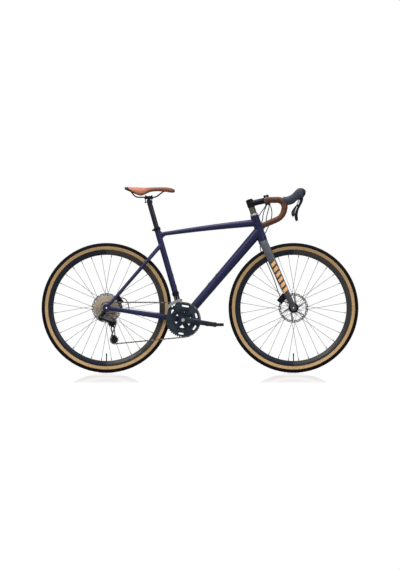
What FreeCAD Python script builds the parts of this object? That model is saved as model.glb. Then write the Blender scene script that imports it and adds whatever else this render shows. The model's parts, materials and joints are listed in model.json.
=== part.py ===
import FreeCAD, Part
import math
import os

import Sketcher
from FreeCAD import Matrix, Placement, Rotation, Vector

# Gravel bike. Millimetres. X runs forward, Y to the rider's left, Z up.
# The origin lies on the ground, midway between the two tyre contact points.

doc = FreeCAD.newDocument("gravel_bike")
sheet = doc.addObject("Spreadsheet::Sheet", "dims")

DRIVING = [
    ("wheelbase", 1004, "rear axle to front axle"),
    ("bead_seat_radius", 311, "rim size, 622 mm across the bead seats"),
    ("tyre_section", 38, "tyre height above the bead seat"),
    ("tyre_width", 38, "tyre across its widest"),
    ("tyre_wall", 2.4, "casing thickness"),
    ("tyre_clearance", 0.2, "tyre bead to rim hook"),
    ("rim_flange_height", 5.5, "rim hook above the bead seat"),
    ("rim_depth", 32, "rim hook to spoke bed"),
    ("rim_width", 25, "rim across its side walls"),
    ("rim_inner_width", 20, "between the rim hooks"),
    ("rim_wall", 1.8, "rim skin"),
    ("spoke_count", 32, "spokes in a wheel"),
    ("spoke_crosses", 3, "crossings of each spoke"),
    ("spoke_diameter", 2.0, "round spoke"),
    ("spoke_seat_gap", 0.15, "spoke to flange face and nipple to rim"),
    ("nipple_diameter", 4.0, "spoke nipple"),
    ("nipple_length", 12, "spoke nipple"),
    ("rim_spoke_offset", 1.5, "nipple seat beside the rim's middle"),
    ("valve_diameter", 6, "valve stem"),
    ("valve_length", 42, "valve stem inside the rim"),
    ("flange_hole_radius", 22, "hub spoke circle"),
    ("flange_rim", 4.5, "flange beyond the spoke circle"),
    ("flange_thickness", 3.2, "hub flange"),
    ("hub_barrel_radius", 13.5, "hub shell between the flanges"),
    ("hub_bearing_outer", 28, "hub bearing outside diameter"),
    ("hub_bearing_width", 8, "hub bearing"),
    ("hub_bearing_inner", 17, "hub bearing bore"),
    ("axle_diameter", 12, "thru-axle"),
    ("axle_clearance", 0.05, "radial play of a thru-axle in its bores"),
    ("front_hub_width", 100, "between the fork ends"),
    ("rear_hub_width", 142, "between the frame's rear dropouts"),
    ("front_left_flange", 21, "flange from the hub's middle"),
    ("front_right_flange", 35, "flange from the hub's middle"),
    ("rear_left_flange", 34, "flange from the hub's middle"),
    ("rear_right_flange", 19, "flange from the hub's middle"),
    ("rotor_radius", 80, "brake rotor"),
    ("rotor_track", 14, "rotor's braking ring, radially"),
    ("rotor_thickness", 1.8, "brake rotor"),
    ("rotor_carrier_radius", 24, "rotor's centre ring"),
    ("rotor_arm_width", 7, "rotor spider arm"),
    ("rotor_arm_count", 6, "rotor spider arms"),
    ("rotor_hole_diameter", 5, "cooling holes"),
    ("rotor_hole_count", 36, "cooling holes"),
    ("rotor_bore_radius", 17, "rotor's seat on the hub"),
    ("front_rotor_inset", 10.5, "rotor plane from the left fork end"),
    ("rear_rotor_inset", 15.5, "rotor plane from the left dropout"),
    ("bb_drop", 64, "bottom bracket below the axles"),
    ("chainstay_length", 416, "bottom bracket to rear axle"),
    ("seat_angle", 74, "seat tube from the ground, degrees"),
    ("seat_tube_length", 512, "bottom bracket to the tube's top"),
    ("seat_tube_diameter", 31.8, "seat tube outside"),
    ("seatpost_diameter", 27.2, "seatpost outside"),
    ("seatpost_clearance", 0.05, "radial play of the post in the tube"),
    ("head_angle", 71.5, "steering axis from the ground, degrees"),
    ("head_tube_length", 141, "head tube"),
    ("head_tube_top_diameter", 46, "head tube outside, top"),
    ("head_tube_bottom_diameter", 51, "head tube outside, bottom"),
    ("head_bearing_outer", 41.8, "headset bearing outside diameter"),
    ("head_bearing_inner", 30.2, "headset bearing bore"),
    ("head_bearing_height", 7, "headset bearing"),
    ("steerer_diameter", 28.6, "fork steerer outside"),
    ("steerer_wall", 2.4, "fork steerer"),
    ("fork_length", 395, "axle to crown seat along the steering axis"),
    ("fork_rake", 42, "axle ahead of the steering axis"),
    ("top_tube_on_seat_tube", 476, "top tube's axis above the bottom bracket"),
    ("top_tube_on_head_tube", 102, "top tube's axis above the head tube's foot"),
    ("top_tube_front_height", 40, "top tube at the head tube"),
    ("top_tube_rear_height", 21, "top tube at the seat tube"),
    ("top_tube_front_width", 38, "top tube at the head tube"),
    ("top_tube_rear_width", 29, "top tube at the seat tube"),
    ("top_tube_arch", 4, "top tube's rise above a straight line"),
    ("top_tube_low_fillet", 30, "top tube's underside into the seat tube, radius"),
    ("top_tube_high_fillet", 9, "top tube's upper side into the seat tube, radius"),
    ("down_tube_on_head_tube", 57, "down tube's axis above the head tube's foot"),
    ("down_tube_front_height", 54, "down tube at the head tube"),
    ("down_tube_rear_height", 43, "down tube at the bottom bracket"),
    ("down_tube_front_width", 44, "down tube at the head tube"),
    ("down_tube_rear_width", 50, "down tube at the bottom bracket"),
    ("frame_wall", 2.2, "frame tube skin"),
    ("bb_shell_diameter", 46, "bottom bracket shell outside"),
    ("bb_shell_width", 68, "bottom bracket shell"),
    ("bb_cup_diameter", 43, "bottom bracket cup outside"),
    ("bb_cup_width", 10, "cup outside the shell"),
    ("bb_bore_diameter", 36, "bottom bracket shell bore"),
    ("bb_spindle_diameter", 24, "crank spindle"),
    ("bb_spindle_clearance", 0.06, "radial play of the spindle in the bearings"),
    ("chainstay_front_height", 33, "chainstay at the bottom bracket"),
    ("chainstay_rear_height", 22, "chainstay at the dropout"),
    ("chainstay_width", 14, "chainstay across"),
    ("seatstay_on_seat_tube", 421, "seatstays' meeting above the bottom bracket"),
    ("seatstay_top_height", 22, "seatstay at the seat tube, fore and aft"),
    ("seatstay_bottom_height", 15, "seatstay at the dropout"),
    ("seatstay_width", 13, "seatstay across"),
    ("stay_wall", 1.8, "stay skin"),
    ("dropout_radius", 21, "dropout plate"),
    ("dropout_thickness", 9, "dropout plate"),
    ("hanger_back", 14, "derailleur bolt behind the rear axle"),
    ("hanger_down", 30, "derailleur bolt below the rear axle"),
    ("boss_spacing", 64, "bottle cage holes"),
    ("boss_hole_radius", 2.1, "bottle cage thread core"),
    ("boss_flange_radius", 5.5, "bottle cage boss flange"),
    ("boss_flange_height", 1.6, "bottle cage boss flange"),
    ("boss_barrel_radius", 4.5, "bottle cage boss in the tube"),
    ("down_tube_boss", 236, "lower bottle boss from the bottom bracket"),
    ("seat_tube_boss", 184, "lower bottle boss from the bottom bracket"),
    ("fork_end_thickness", 10, "fork end plate"),
    ("fork_end_radius", 17, "fork end plate"),
    ("fork_crown_depth", 33, "crown below the head tube's foot"),
    ("fork_crown_half_width", 40, "crown across, half"),
    ("fork_leg_top", 23, "leg fore and aft at the crown, half"),
    ("fork_leg_bottom", 15.5, "leg fore and aft at its end, half"),
    ("headset_cover_height", 12, "bearing cover above the head tube"),
    ("headset_gap", 0.4, "cover to head tube and crown to head tube"),
    ("spacer_height", 12, "one of three headset spacers"),
    ("spacer_diameter", 35, "headset spacer"),
    ("stem_clamp_height", 40, "stem on the steerer"),
    ("stem_length", 90, "steerer axis to bar axis"),
    ("stem_angle", -6, "stem against the steerer's square, degrees"),
    ("stem_clamp_diameter", 39, "stem on the steerer, outside"),
    ("bar_clamp_width", 42, "stem on the bar"),
    ("bar_clamp_diameter", 43, "stem on the bar, outside"),
    ("bar_bulge_diameter", 31.8, "bar in the stem"),
    ("bar_diameter", 23.8, "bar beyond the bulge"),
    ("bar_half_tops", 190, "half of the bar's straight top, to its corner"),
    ("bar_reach", 105, "bar's corner ahead of the stem"),
    ("bar_half_hoods", 210, "half width at the hoods"),
    ("bar_drop", 137, "bar end below the top"),
    ("bar_half_ends", 240, "half width at the bar ends"),
    ("tape_thickness", 3.1, "bar tape"),
    ("tape_start", 74, "bar tape's inner end from the middle"),
    ("hood_half_width", 17, "brake hood"),
    ("hood_skin", 2.6, "rubber hood"),
    ("lever_width", 13, "brake lever blade"),
    ("lever_pin_radius", 2.5, "brake lever pin"),
    ("pivot_clearance", 0.05, "radial play of small pivots"),
    ("saddle_length", 271, "saddle"),
    ("saddle_width", 146, "saddle at its widest"),
    ("saddle_height", 1000, "saddle top above the ground"),
    ("saddle_setback", 405.5, "saddle's tail behind the origin"),
    ("saddle_pad", 13, "saddle cover's thickness"),
    ("saddle_shell", 3.2, "saddle base"),
    ("saddle_full_depth", 24, "saddle section from which the pad has its full thickness"),
    ("saddle_rail_diameter", 7, "saddle rail"),
    ("saddle_rail_spacing", 44, "between the rails at the clamp"),
    ("seatpost_insert", 130, "seatpost inside the tube"),
    ("seatpost_head", 670, "rail clamp above the bottom bracket"),
    ("crank_length", 172.5, "spindle to pedal axle"),
    ("crank_angle", -8.5, "right crank from forward, degrees"),
    ("crank_q", 151, "between the crank arms' outer faces"),
    ("large_ring_teeth", 46, "outer chainring"),
    ("small_ring_teeth", 30, "inner chainring"),
    ("ring_line", 46.9, "midway between the chainrings from the bike's middle"),
    ("ring_gap", 7.0, "between the chainrings"),
    ("chain_pitch", 12.7, "roller to roller"),
    ("roller_radius", 3.85, "chain roller"),
    ("tooth_thickness", 1.7, "sprocket"),
    ("cog_pitch", 3.74, "between the sprockets"),
    ("first_cog_line", 64.5, "smallest sprocket from the bike's middle"),
    ("pulley_teeth", 11, "derailleur pulleys"),
    ("pedal_length", 95, "pedal, fore and aft"),
    ("pedal_width", 92, "pedal, across"),
    ("pedal_thickness", 16, "pedal body"),
    ("cable_radius", 2.5, "cable housing and hose"),
]
for row, (alias, value, note) in enumerate(DRIVING, 1):
    sheet.set(f"A{row}", note)
    sheet.set(f"B{row}", str(value))
    sheet.setAlias(f"B{row}", alias)
doc.recompute()


class Size:
    """A length from the sheet: its number, and the same size as a cell expression."""

    def __init__(self, value, text):
        self.value = float(value)
        self.text = text

    def __float__(self):
        return self.value

    def __add__(self, other):
        other = as_size(other)
        return Size(self.value + other.value, f"({self.text} + {other.text})")

    def __sub__(self, other):
        other = as_size(other)
        return Size(self.value - other.value, f"({self.text} - {other.text})")

    def __mul__(self, other):
        other = as_size(other)
        return Size(self.value * other.value, f"({self.text} * {other.text})")

    def __truediv__(self, other):
        other = as_size(other)
        return Size(self.value / other.value, f"({self.text} / {other.text})")

    def __neg__(self):
        return Size(-self.value, f"(0 - {self.text})")

    __radd__ = __add__
    __rmul__ = __mul__

    def __rsub__(self, other):
        return as_size(other) - self


def as_size(number):
    return number if isinstance(number, Size) else Size(number, f"{float(number):.6f}")


class Driving:
    """The sheet's cells by alias."""

    def __getattr__(self, alias):
        return Size(float(sheet.get(alias)), f"dims.{alias}")


d = Driving()

NODES = []
ORIGIN = Vector(0, 0, 0)
ALONG_X = Vector(1, 0, 0)
ALONG_Y = Vector(0, 1, 0)
ALONG_Z = Vector(0, 0, 1)


def v(x, y, z):
    return Vector(float(x), float(y), float(z))


def unit(vector):
    copy = Vector(vector)
    return copy.normalize()


def node(label, *members):
    """Name a finished piece; several objects of one piece are gathered in a compound."""
    if len(members) == 1:
        piece = members[0]
    else:
        piece = doc.addObject("Part::Compound", label + "_set")
        piece.Links = list(members)
    piece.Label = label
    NODES.append(piece)
    return piece


def feature(name, *shapes):
    """Hold a shape, or several separate shapes, that no parametric feature fits."""
    held = doc.addObject("Part::Feature", name)
    held.Shape = shapes[0] if len(shapes) == 1 else Part.Compound(list(shapes))
    return held


def plane_of(body, role):
    return [item for item in body.Origin.OriginFeatures if item.Role == role][0]


def sketch_loops(body, name, role, loops):
    """A sketch of closed outlines whose every corner is bound to the sheet."""
    sketch = body.newObject("Sketcher::SketchObject", name)
    sketch.AttachmentSupport = [(plane_of(body, role), "")]
    sketch.MapMode = "FlatFace"
    first = 0
    for corners in loops:
        count = len(corners)
        for index in range(count):
            here = corners[index]
            there = corners[(index + 1) % count]
            sketch.addGeometry(Part.LineSegment(v(here[0], here[1], 0), v(there[0], there[1], 0)))
        for index in range(count):
            line = first + index
            follower = first + (index + 1) % count
            sketch.addConstraint(Sketcher.Constraint("Coincident", line, 2, follower, 1))
        for index, corner in enumerate(corners):
            for kind, tag, size in (("DistanceX", "x", corner[0]), ("DistanceY", "y", corner[1])):
                size = as_size(size)
                place = sketch.addConstraint(Sketcher.Constraint(kind, -1, 1, first + index, 1, size.value))
                sketch.renameConstraint(place, f"p{first + index}{tag}")
                sketch.setExpression(f"Constraints.p{first + index}{tag}", size.text)
        first += count
    return sketch


def turned(name, *loops, at=ORIGIN, axis=ALONG_Y):
    """A body of revolution; corners are (radius, distance along the axis)."""
    body = doc.addObject("PartDesign::Body", name)
    sketch = sketch_loops(body, name + "_profile", "XY_Plane", loops)
    spin = body.newObject("PartDesign::Revolution", name + "_turn")
    spin.Profile = sketch
    spin.ReferenceAxis = (sketch, ["V_Axis"])
    spin.Angle = 360
    sketch.Visibility = False
    body.Placement = Placement(at, Rotation(ALONG_Y, axis))
    return body


def ring(name, inner, outer, start, end, at=ORIGIN, axis=ALONG_Y):
    return turned(name, [(inner, start), (outer, start), (outer, end), (inner, end)], at=at, axis=axis)


def cylinder(radius, length, base, direction):
    return Part.makeCylinder(float(radius), float(length), base, direction)


def rod(radius, start, end):
    return cylinder(radius, (end - start).Length, start, end - start)


def box_between(low, high):
    size = high - low
    return Part.makeBox(size.x, size.y, size.z, low)


def oval(centre, along, half_width, half_height, square=1.0):
    """A closed smooth section square to a direction; its width lies across the bike."""
    along = unit(along)
    across = ALONG_Y - along * along.y
    across = unit(across)
    up = along.cross(across)
    points = []
    for step in range(12):
        turn = math.radians(30 * step)
        x = math.copysign(abs(math.cos(turn)) ** square, math.cos(turn))
        y = math.copysign(abs(math.sin(turn)) ** square, math.sin(turn))
        points.append(centre + across * (float(half_width) * x) + up * (float(half_height) * y))
    curve = Part.BSplineCurve()
    curve.interpolate(Points=points, PeriodicFlag=True)
    return Part.Wire([curve.toShape()])


def loft(sections, ruled=False):
    return Part.makeLoft(sections, True, ruled)


def oval_loft(stations, ruled=False, square=1.0, along=None):
    """Stations are (centre, half width, half height); each section faces along the run, or as along says."""
    sections = []
    for index, (centre, half_width, half_height) in enumerate(stations):
        before = stations[max(index - 1, 0)][0]
        after = stations[min(index + 1, len(stations) - 1)][0]
        sections.append(oval(centre, along or after - before, half_width, half_height, square))
    return loft(sections, ruled)


def hollow_loft(stations, wall, ruled=False):
    outer = oval_loft(stations, ruled)
    inner_stations = [(c, float(w) - float(wall), float(h) - float(wall)) for c, w, h in stations]
    first = (inner_stations[0][0] - inner_stations[1][0]).normalize()
    last = (inner_stations[-1][0] - inner_stations[-2][0]).normalize()
    inner_stations[0] = (inner_stations[0][0] + first * 2, *inner_stations[0][1:])
    inner_stations[-1] = (inner_stations[-1][0] + last * 2, *inner_stations[-1][1:])
    return outer.cut(oval_loft(inner_stations, ruled))


def rounded_path(points, radii):
    """Straight runs joined by arcs; one radius for each inner corner."""
    edges = []
    start = points[0]
    for index in range(1, len(points) - 1):
        corner = points[index]
        arriving = unit(corner - points[index - 1])
        leaving = unit(points[index + 1] - corner)
        turn = arriving.getAngle(leaving)
        reach = float(radii[index - 1]) * math.tan(turn / 2)
        enter = corner - arriving * reach
        leave = corner + leaving * reach
        inward = unit(leaving - arriving)
        bulge = float(radii[index - 1]) * (1 / math.cos(turn / 2) - 1)
        if (enter - start).Length > 1e-6:
            edges.append(Part.LineSegment(start, enter).toShape())
        edges.append(Part.Arc(enter, corner + inward * bulge, leave).toShape())
        start = leave
    if (points[-1] - start).Length > 1e-6:
        edges.append(Part.LineSegment(start, points[-1]).toShape())
    return Part.Wire(edges)


def cord_path(points):
    """A route with the widest even bends that its runs leave room for."""
    radii = []
    for index in range(1, len(points) - 1):
        before = points[index] - points[index - 1]
        after = points[index + 1] - points[index]
        turn = before.getAngle(after)
        shorter = min(before.Length, after.Length)
        radii.append(0.45 * shorter / math.tan(turn / 2))
    return rounded_path(points, radii)


def swept(path, radius):
    """A round rod along a path."""
    first = path.Edges[0]
    start = first.valueAt(first.FirstParameter)
    tangent = first.tangentAt(first.FirstParameter)
    section = Part.Wire([Part.Circle(start, tangent, float(radius)).toShape()])
    return path.makePipeShell([section], True, False)


def mirrored(shape):
    """The same shape on the other side of the bike."""
    return shape.mirror(ORIGIN, ALONG_Y)


def spun(shape, degrees, centre, axis=ALONG_Y):
    copy = shape.copy()
    copy.rotate(centre, axis, degrees)
    return copy


def outline_face(points):
    return Part.Face(Part.makePolygon(list(points) + [points[0]]))


def capsule(start, end, start_radius, end_radius, low, high):
    """A flat bar in the side plane with round ends, between two distances across the bike."""
    run = end - start
    length = run.Length
    run = unit(run)
    side = Vector(-run.z, 0, run.x)
    lean = math.asin((float(start_radius) - float(end_radius)) / length)
    tilt = run * math.sin(lean)
    square = side * math.cos(lean)
    start_top = start + (tilt + square) * float(start_radius)
    start_low = start + (tilt - square) * float(start_radius)
    end_top = end + (tilt + square) * float(end_radius)
    end_low = end + (tilt - square) * float(end_radius)
    wire = Part.Wire([
        Part.LineSegment(start_top, end_top).toShape(),
        Part.Arc(end_top, end + run * float(end_radius), end_low).toShape(),
        Part.LineSegment(end_low, start_low).toShape(),
        Part.Arc(start_low, start - run * float(start_radius), start_top).toShape(),
    ])
    face = Part.Face(wire)
    face.translate(Vector(0, float(low), 0))
    return face.extrude(Vector(0, float(high) - float(low), 0))


# Points that the driving sizes fix

tyre_radius = d.bead_seat_radius + d.tyre_section
rear_axle = v(-d.wheelbase / 2, 0, tyre_radius)
front_axle = v(d.wheelbase / 2, 0, tyre_radius)
chainstay_reach = math.sqrt(float(d.chainstay_length) ** 2 - float(d.bb_drop) ** 2)
bb = rear_axle + v(chainstay_reach, 0, -d.bb_drop)
seat_lean = math.radians(float(d.seat_angle))
seat_up = v(-math.cos(seat_lean), 0, math.sin(seat_lean))
seat_back = v(-math.sin(seat_lean), 0, -math.cos(seat_lean))
head_lean = math.radians(float(d.head_angle))
steer_up = v(-math.cos(head_lean), 0, math.sin(head_lean))
steer_forward = v(math.sin(head_lean), 0, math.cos(head_lean))
head_foot = front_axle - steer_forward * float(d.fork_rake) + steer_up * float(d.fork_length)
head_top = head_foot + steer_up * float(d.head_tube_length)


def on_seat_tube(height):
    return bb + seat_up * float(height)


def on_head_tube(height):
    return head_foot + steer_up * float(height)


# Front triangle

head_rings = [
    (d.steerer_diameter / 2 + 3, d.head_bearing_height),
    (d.head_bearing_outer / 2, d.head_bearing_height),
    (d.head_bearing_outer / 2, 0),
    (d.head_tube_bottom_diameter / 2, 0),
    (d.head_tube_bottom_diameter / 2, 22),
    (d.head_tube_top_diameter / 2 - 1, d.head_tube_length * 0.5),
    (d.head_tube_top_diameter / 2, d.head_tube_length - 14),
    (d.head_tube_top_diameter / 2, d.head_tube_length),
    (d.head_bearing_outer / 2, d.head_tube_length),
    (d.head_bearing_outer / 2, d.head_tube_length - d.head_bearing_height),
    (d.steerer_diameter / 2 + 3, d.head_tube_length - d.head_bearing_height),
]
head_tube = turned("head_tube", head_rings, at=head_foot, axis=steer_up)
seat_tube_inner = d.seatpost_diameter / 2 + d.seatpost_clearance
bb_shell = ring("bb_shell", d.bb_bore_diameter / 2, d.bb_shell_diameter / 2,
                -d.bb_shell_width / 2, d.bb_shell_width / 2, at=bb)
doc.recompute()

head_profile = Part.makePolygon([
    v(0, 0, -4),
    v(d.head_tube_bottom_diameter / 2, 0, -4),
    v(d.head_tube_bottom_diameter / 2, 0, 22),
    v(d.head_tube_top_diameter / 2 - 1, 0, d.head_tube_length * 0.5),
    v(d.head_tube_top_diameter / 2, 0, d.head_tube_length - 14),
    v(d.head_tube_top_diameter / 2, 0, d.head_tube_length + 4),
    v(0, 0, d.head_tube_length + 4),
    v(0, 0, -4),
])
head_solid = Part.Face(head_profile).revolve(ORIGIN, ALONG_Z, 360)
head_solid.Placement = Placement(head_foot, Rotation(ALONG_Z, steer_up))
seat_tube_solid = cylinder(d.seat_tube_diameter / 2, d.seat_tube_length, bb, seat_up)
bb_solid = cylinder(d.bb_shell_diameter / 2, d.bb_shell_width,
                    bb - ALONG_Y * (float(d.bb_shell_width) / 2), ALONG_Y)
seat_tube_bore = cylinder(seat_tube_inner, d.seat_tube_length + 20, bb, seat_up)
seat_tube = feature("seat_tube", seat_tube_solid.cut(bb_solid).cut(seat_tube_bore))

top_rear = on_seat_tube(d.top_tube_on_seat_tube)
top_front = on_head_tube(d.top_tube_on_head_tube)
top_run = top_front - top_rear


def fillet_growth(reach, radius):
    """How far a round fillet stands out from the tube at a distance from the seat tube's axis."""
    clear = reach - float(d.seat_tube_diameter) / 2
    if clear >= radius:
        return 0.0
    return radius - math.sqrt(radius ** 2 - (radius - max(clear, 0.0)) ** 2)


top_stations = []
for share in (0.0, 0.25, 0.5, 0.75, 1.0):
    rise = float(d.top_tube_arch) * math.sin(math.pi * share)
    width = d.top_tube_rear_width * (1 - share) + d.top_tube_front_width * share
    height = d.top_tube_rear_height * (1 - share) + d.top_tube_front_height * share
    top_stations.append((top_rear + top_run * share + ALONG_Z * rise, width / 2, height / 2))
flare_stations = []
for reach in (3, 16, 18, 20, 23, 27, 32, 38, 50):
    share = reach / top_run.Length
    below = fillet_growth(reach, float(d.top_tube_low_fillet))
    above = fillet_growth(reach, float(d.top_tube_high_fillet))
    rise = float(d.top_tube_arch) * math.sin(math.pi * share) + (above - below) / 2
    half_height = (d.top_tube_rear_height + below + above) / 2 - 0.6
    centre = top_rear + top_run * share + ALONG_Z * rise
    flare_stations.append((centre, d.top_tube_rear_width / 2 - 0.8, half_height))
top_flare = oval_loft(flare_stations, ruled=True, along=top_run)
half_wall = float(d.frame_wall) / 2
top_core = oval_loft([(c, float(w) - half_wall, float(h) - half_wall) for c, w, h in top_stations])
top_tube_raw = hollow_loft(top_stations, d.frame_wall).fuse(top_flare.cut(top_core))
top_tube = feature("top_tube", top_tube_raw.cut(seat_tube_solid).cut(head_solid))

down_front = on_head_tube(d.down_tube_on_head_tube)
down_stations = []
for share in (0.0, 0.35, 0.75, 1.0):
    centre = bb + (down_front - bb) * share
    width = d.down_tube_rear_width * (1 - share) + d.down_tube_front_width * share
    height = d.down_tube_rear_height * (1 - share) + d.down_tube_front_height * share
    down_stations.append((centre, width / 2, height / 2))
down_tube_raw = hollow_loft(down_stations, d.frame_wall)
down_tube_raw = down_tube_raw.cut(bb_solid).cut(seat_tube_solid).cut(head_solid).cut(top_tube.Shape)
down_along = unit(down_front - bb)
down_up = Vector(-down_along.z, 0, down_along.x)

# Bottle cage bosses, let into the two tubes

boss_solids = []
boss_cutters = []
boss_places = []


def down_tube_half_height(distance):
    share = distance / (down_front - bb).Length
    rear = float(d.down_tube_rear_height)
    front = float(d.down_tube_front_height)
    return (rear * (1 - share) + front * share) / 2


for step in (0, 1):
    reach = float(d.down_tube_boss) + step * float(d.boss_spacing)
    surface = bb + down_along * reach + down_up * down_tube_half_height(reach)
    boss_places.append((surface, down_up))
    reach = float(d.seat_tube_boss) + step * float(d.boss_spacing)
    surface = on_seat_tube(reach) - seat_back * (float(d.seat_tube_diameter) / 2)
    boss_places.append((surface, seat_back * -1))
for surface, outward in boss_places:
    barrel_depth = float(d.frame_wall) + 0.6
    flange_length = float(d.boss_flange_height) + 0.8
    flange = cylinder(d.boss_flange_radius, flange_length, surface - outward * 0.8, outward)
    barrel = cylinder(d.boss_barrel_radius, barrel_depth, surface - outward * barrel_depth, outward)
    hole = cylinder(d.boss_hole_radius, 30, surface - outward * 15, outward)
    boss_cutters.append(cylinder(d.boss_barrel_radius, 12, surface - outward * 9, outward))
    boss_solids.append(flange.fuse(barrel).cut(hole))
seat_tube.Shape = seat_tube.Shape.cut(Part.Compound(boss_cutters[1::2]))
down_tube = feature("down_tube", down_tube_raw.cut(Part.Compound(boss_cutters[0::2])))
boss_solids = [solid.cut(seat_tube.Shape).cut(down_tube.Shape).cut(seat_tube_bore) for solid in boss_solids]
node("front_triangle", head_tube, top_tube, down_tube, seat_tube, bb_shell)
node("bottle_bosses", feature("boss_solids", *[solid.Solids[0] for solid in boss_solids]))

# Rear triangle

half_hub = float(d.rear_hub_width) / 2
drop_mid = half_hub + float(d.dropout_thickness) / 2
axle_keepout = cylinder(d.dropout_radius, 4 * half_hub, rear_axle - ALONG_Y * (2 * half_hub), ALONG_Y)
stay_back = unit(rear_axle - bb)
chainstay_stations = []
for reach, across, share in ((4, 22, 0.0), (66, 30, 0.15), (150, 43, 0.4), (250, 57, 0.7),
                             (335, 70, 0.9), (float(d.chainstay_length), drop_mid, 1.0)):
    centre = bb + stay_back * reach + ALONG_Y * across
    height = d.chainstay_front_height * (1 - share) + d.chainstay_rear_height * share
    chainstay_stations.append((centre, d.chainstay_width / 2, height / 2))
chainstay = hollow_loft(chainstay_stations, d.stay_wall)
chainstay = chainstay.cut(bb_solid).cut(seat_tube_solid).cut(axle_keepout)
seatstay_top = on_seat_tube(d.seatstay_on_seat_tube)
seatstay_run = rear_axle - seatstay_top
seatstay_stations = []
for share, across in ((0.0, 9), (0.1, 20), (0.24, 36), (0.5, 49), (0.82, 69), (1.0, drop_mid)):
    centre = seatstay_top + seatstay_run * share + ALONG_Y * across
    height = d.seatstay_top_height * (1 - share) + d.seatstay_bottom_height * share
    seatstay_stations.append((centre, d.seatstay_width / 2, height / 2))
seatstay = hollow_loft(seatstay_stations, d.stay_wall)
seatstay = seatstay.cut(seat_tube_solid).cut(axle_keepout).cut(chainstay)
dropout = cylinder(d.dropout_radius, d.dropout_thickness, rear_axle + ALONG_Y * half_hub, ALONG_Y)
axle_hole = cylinder(d.axle_diameter / 2 + d.axle_clearance, 4 * half_hub,
                     rear_axle - ALONG_Y * (2 * half_hub), ALONG_Y)
dropout = dropout.cut(axle_hole)
hanger_bolt = rear_axle + v(-d.hanger_back, 0, -d.hanger_down)
hanger_seat = cylinder(d.dropout_radius, 4 * half_hub, rear_axle - ALONG_Y * (2 * half_hub), ALONG_Y)
hanger = capsule(rear_axle + v(-4, 0, -10), hanger_bolt, 9, 9, -half_hub - 8, -half_hub - 1)
hanger = hanger.cut(hanger_seat)
hanger = hanger.cut(cylinder(5.05, 40, hanger_bolt - ALONG_Y * (half_hub + 20), ALONG_Y))
rear_solids = [chainstay, mirrored(chainstay), seatstay, mirrored(seatstay), dropout, mirrored(dropout), hanger]
node("rear_triangle", feature("rear_stays", *rear_solids))


# Wheels

def tyre_shape():
    bead = float(d.bead_seat_radius + d.tyre_clearance)
    hook = float(d.bead_seat_radius + d.rim_flange_height)
    crown = float(tyre_radius)
    half = float(d.tyre_width) / 2
    seat = float(d.rim_inner_width) / 2 - float(d.tyre_clearance)
    wall = float(d.tyre_wall)
    widest = float(d.bead_seat_radius) + float(d.tyre_section) * 0.5
    shoulder = crown - float(d.tyre_section) * 0.17
    shoulder_half = half * 0.80

    def at(radius, across):
        return Vector(radius, across, 0)

    edges = []
    outer = [at(bead, -seat), at(hook + 0.6, -seat), at(widest, -half), at(shoulder, -shoulder_half),
             at(crown, 0), at(shoulder, shoulder_half), at(widest, half), at(hook + 0.6, seat), at(bead, seat)]
    edges.append(Part.LineSegment(outer[0], outer[1]).toShape())
    edges.append(Part.Arc(outer[1], outer[2], outer[3]).toShape())
    edges.append(Part.Arc(outer[3], outer[4], outer[5]).toShape())
    edges.append(Part.Arc(outer[5], outer[6], outer[7]).toShape())
    edges.append(Part.LineSegment(outer[7], outer[8]).toShape())
    inner_left = at(bead, -seat + wall)
    inner_right = at(bead, seat - wall)
    edges.append(Part.LineSegment(outer[8], inner_right).toShape())
    neck_right = at(hook + 0.6, seat - wall)
    neck_left = at(hook + 0.6, -seat + wall)
    edges.append(Part.LineSegment(inner_right, neck_right).toShape())
    edges.append(Part.Arc(neck_right, at(widest, half - wall), at(shoulder - 1.5, shoulder_half - wall)).toShape())
    edges.append(Part.Arc(at(shoulder - 1.5, shoulder_half - wall), at(crown - wall - 2, 0),
                          at(shoulder - 1.5, wall - shoulder_half)).toShape())
    edges.append(Part.Arc(at(shoulder - 1.5, wall - shoulder_half), at(widest, wall - half), neck_left).toShape())
    edges.append(Part.LineSegment(neck_left, inner_left).toShape())
    edges.append(Part.LineSegment(inner_left, outer[0]).toShape())
    return Part.Face(Part.Wire(edges)).revolve(ORIGIN, ALONG_Y, 360)


def rim_body(name, centre):
    hook = d.bead_seat_radius + d.rim_flange_height
    bed = hook - d.rim_depth
    half = d.rim_width / 2
    seat = d.rim_inner_width / 2
    outside = [
        (bed, -3), (bed + 3, -6.5), (bed + d.rim_depth * 0.55, -half), (hook, -half), (hook, -seat),
        (d.bead_seat_radius, -seat), (d.bead_seat_radius - 0.4, -5), (d.bead_seat_radius - 3.5, -3.5),
        (d.bead_seat_radius - 3.5, 3.5), (d.bead_seat_radius - 0.4, 5), (d.bead_seat_radius, seat),
        (hook, seat), (hook, half), (bed + d.rim_depth * 0.55, half), (bed + 3, 6.5), (bed, 3),
    ]
    deep = bed + d.rim_wall
    high = d.bead_seat_radius - 3.5 - d.rim_wall
    inside = [
        (deep, -3), (deep + 2.5, -5.5), (bed + d.rim_depth * 0.55, d.rim_wall - half),
        (high + 1.5, d.rim_wall - half), (high + 1.2, -5.5), (high, -3.5),
        (high, 3.5), (high + 1.2, 5.5), (high + 1.5, half - d.rim_wall),
        (bed + d.rim_depth * 0.55, half - d.rim_wall), (deep + 2.5, 5.5), (deep, 3),
    ]
    return turned(name, outside, inside, at=centre)


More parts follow.
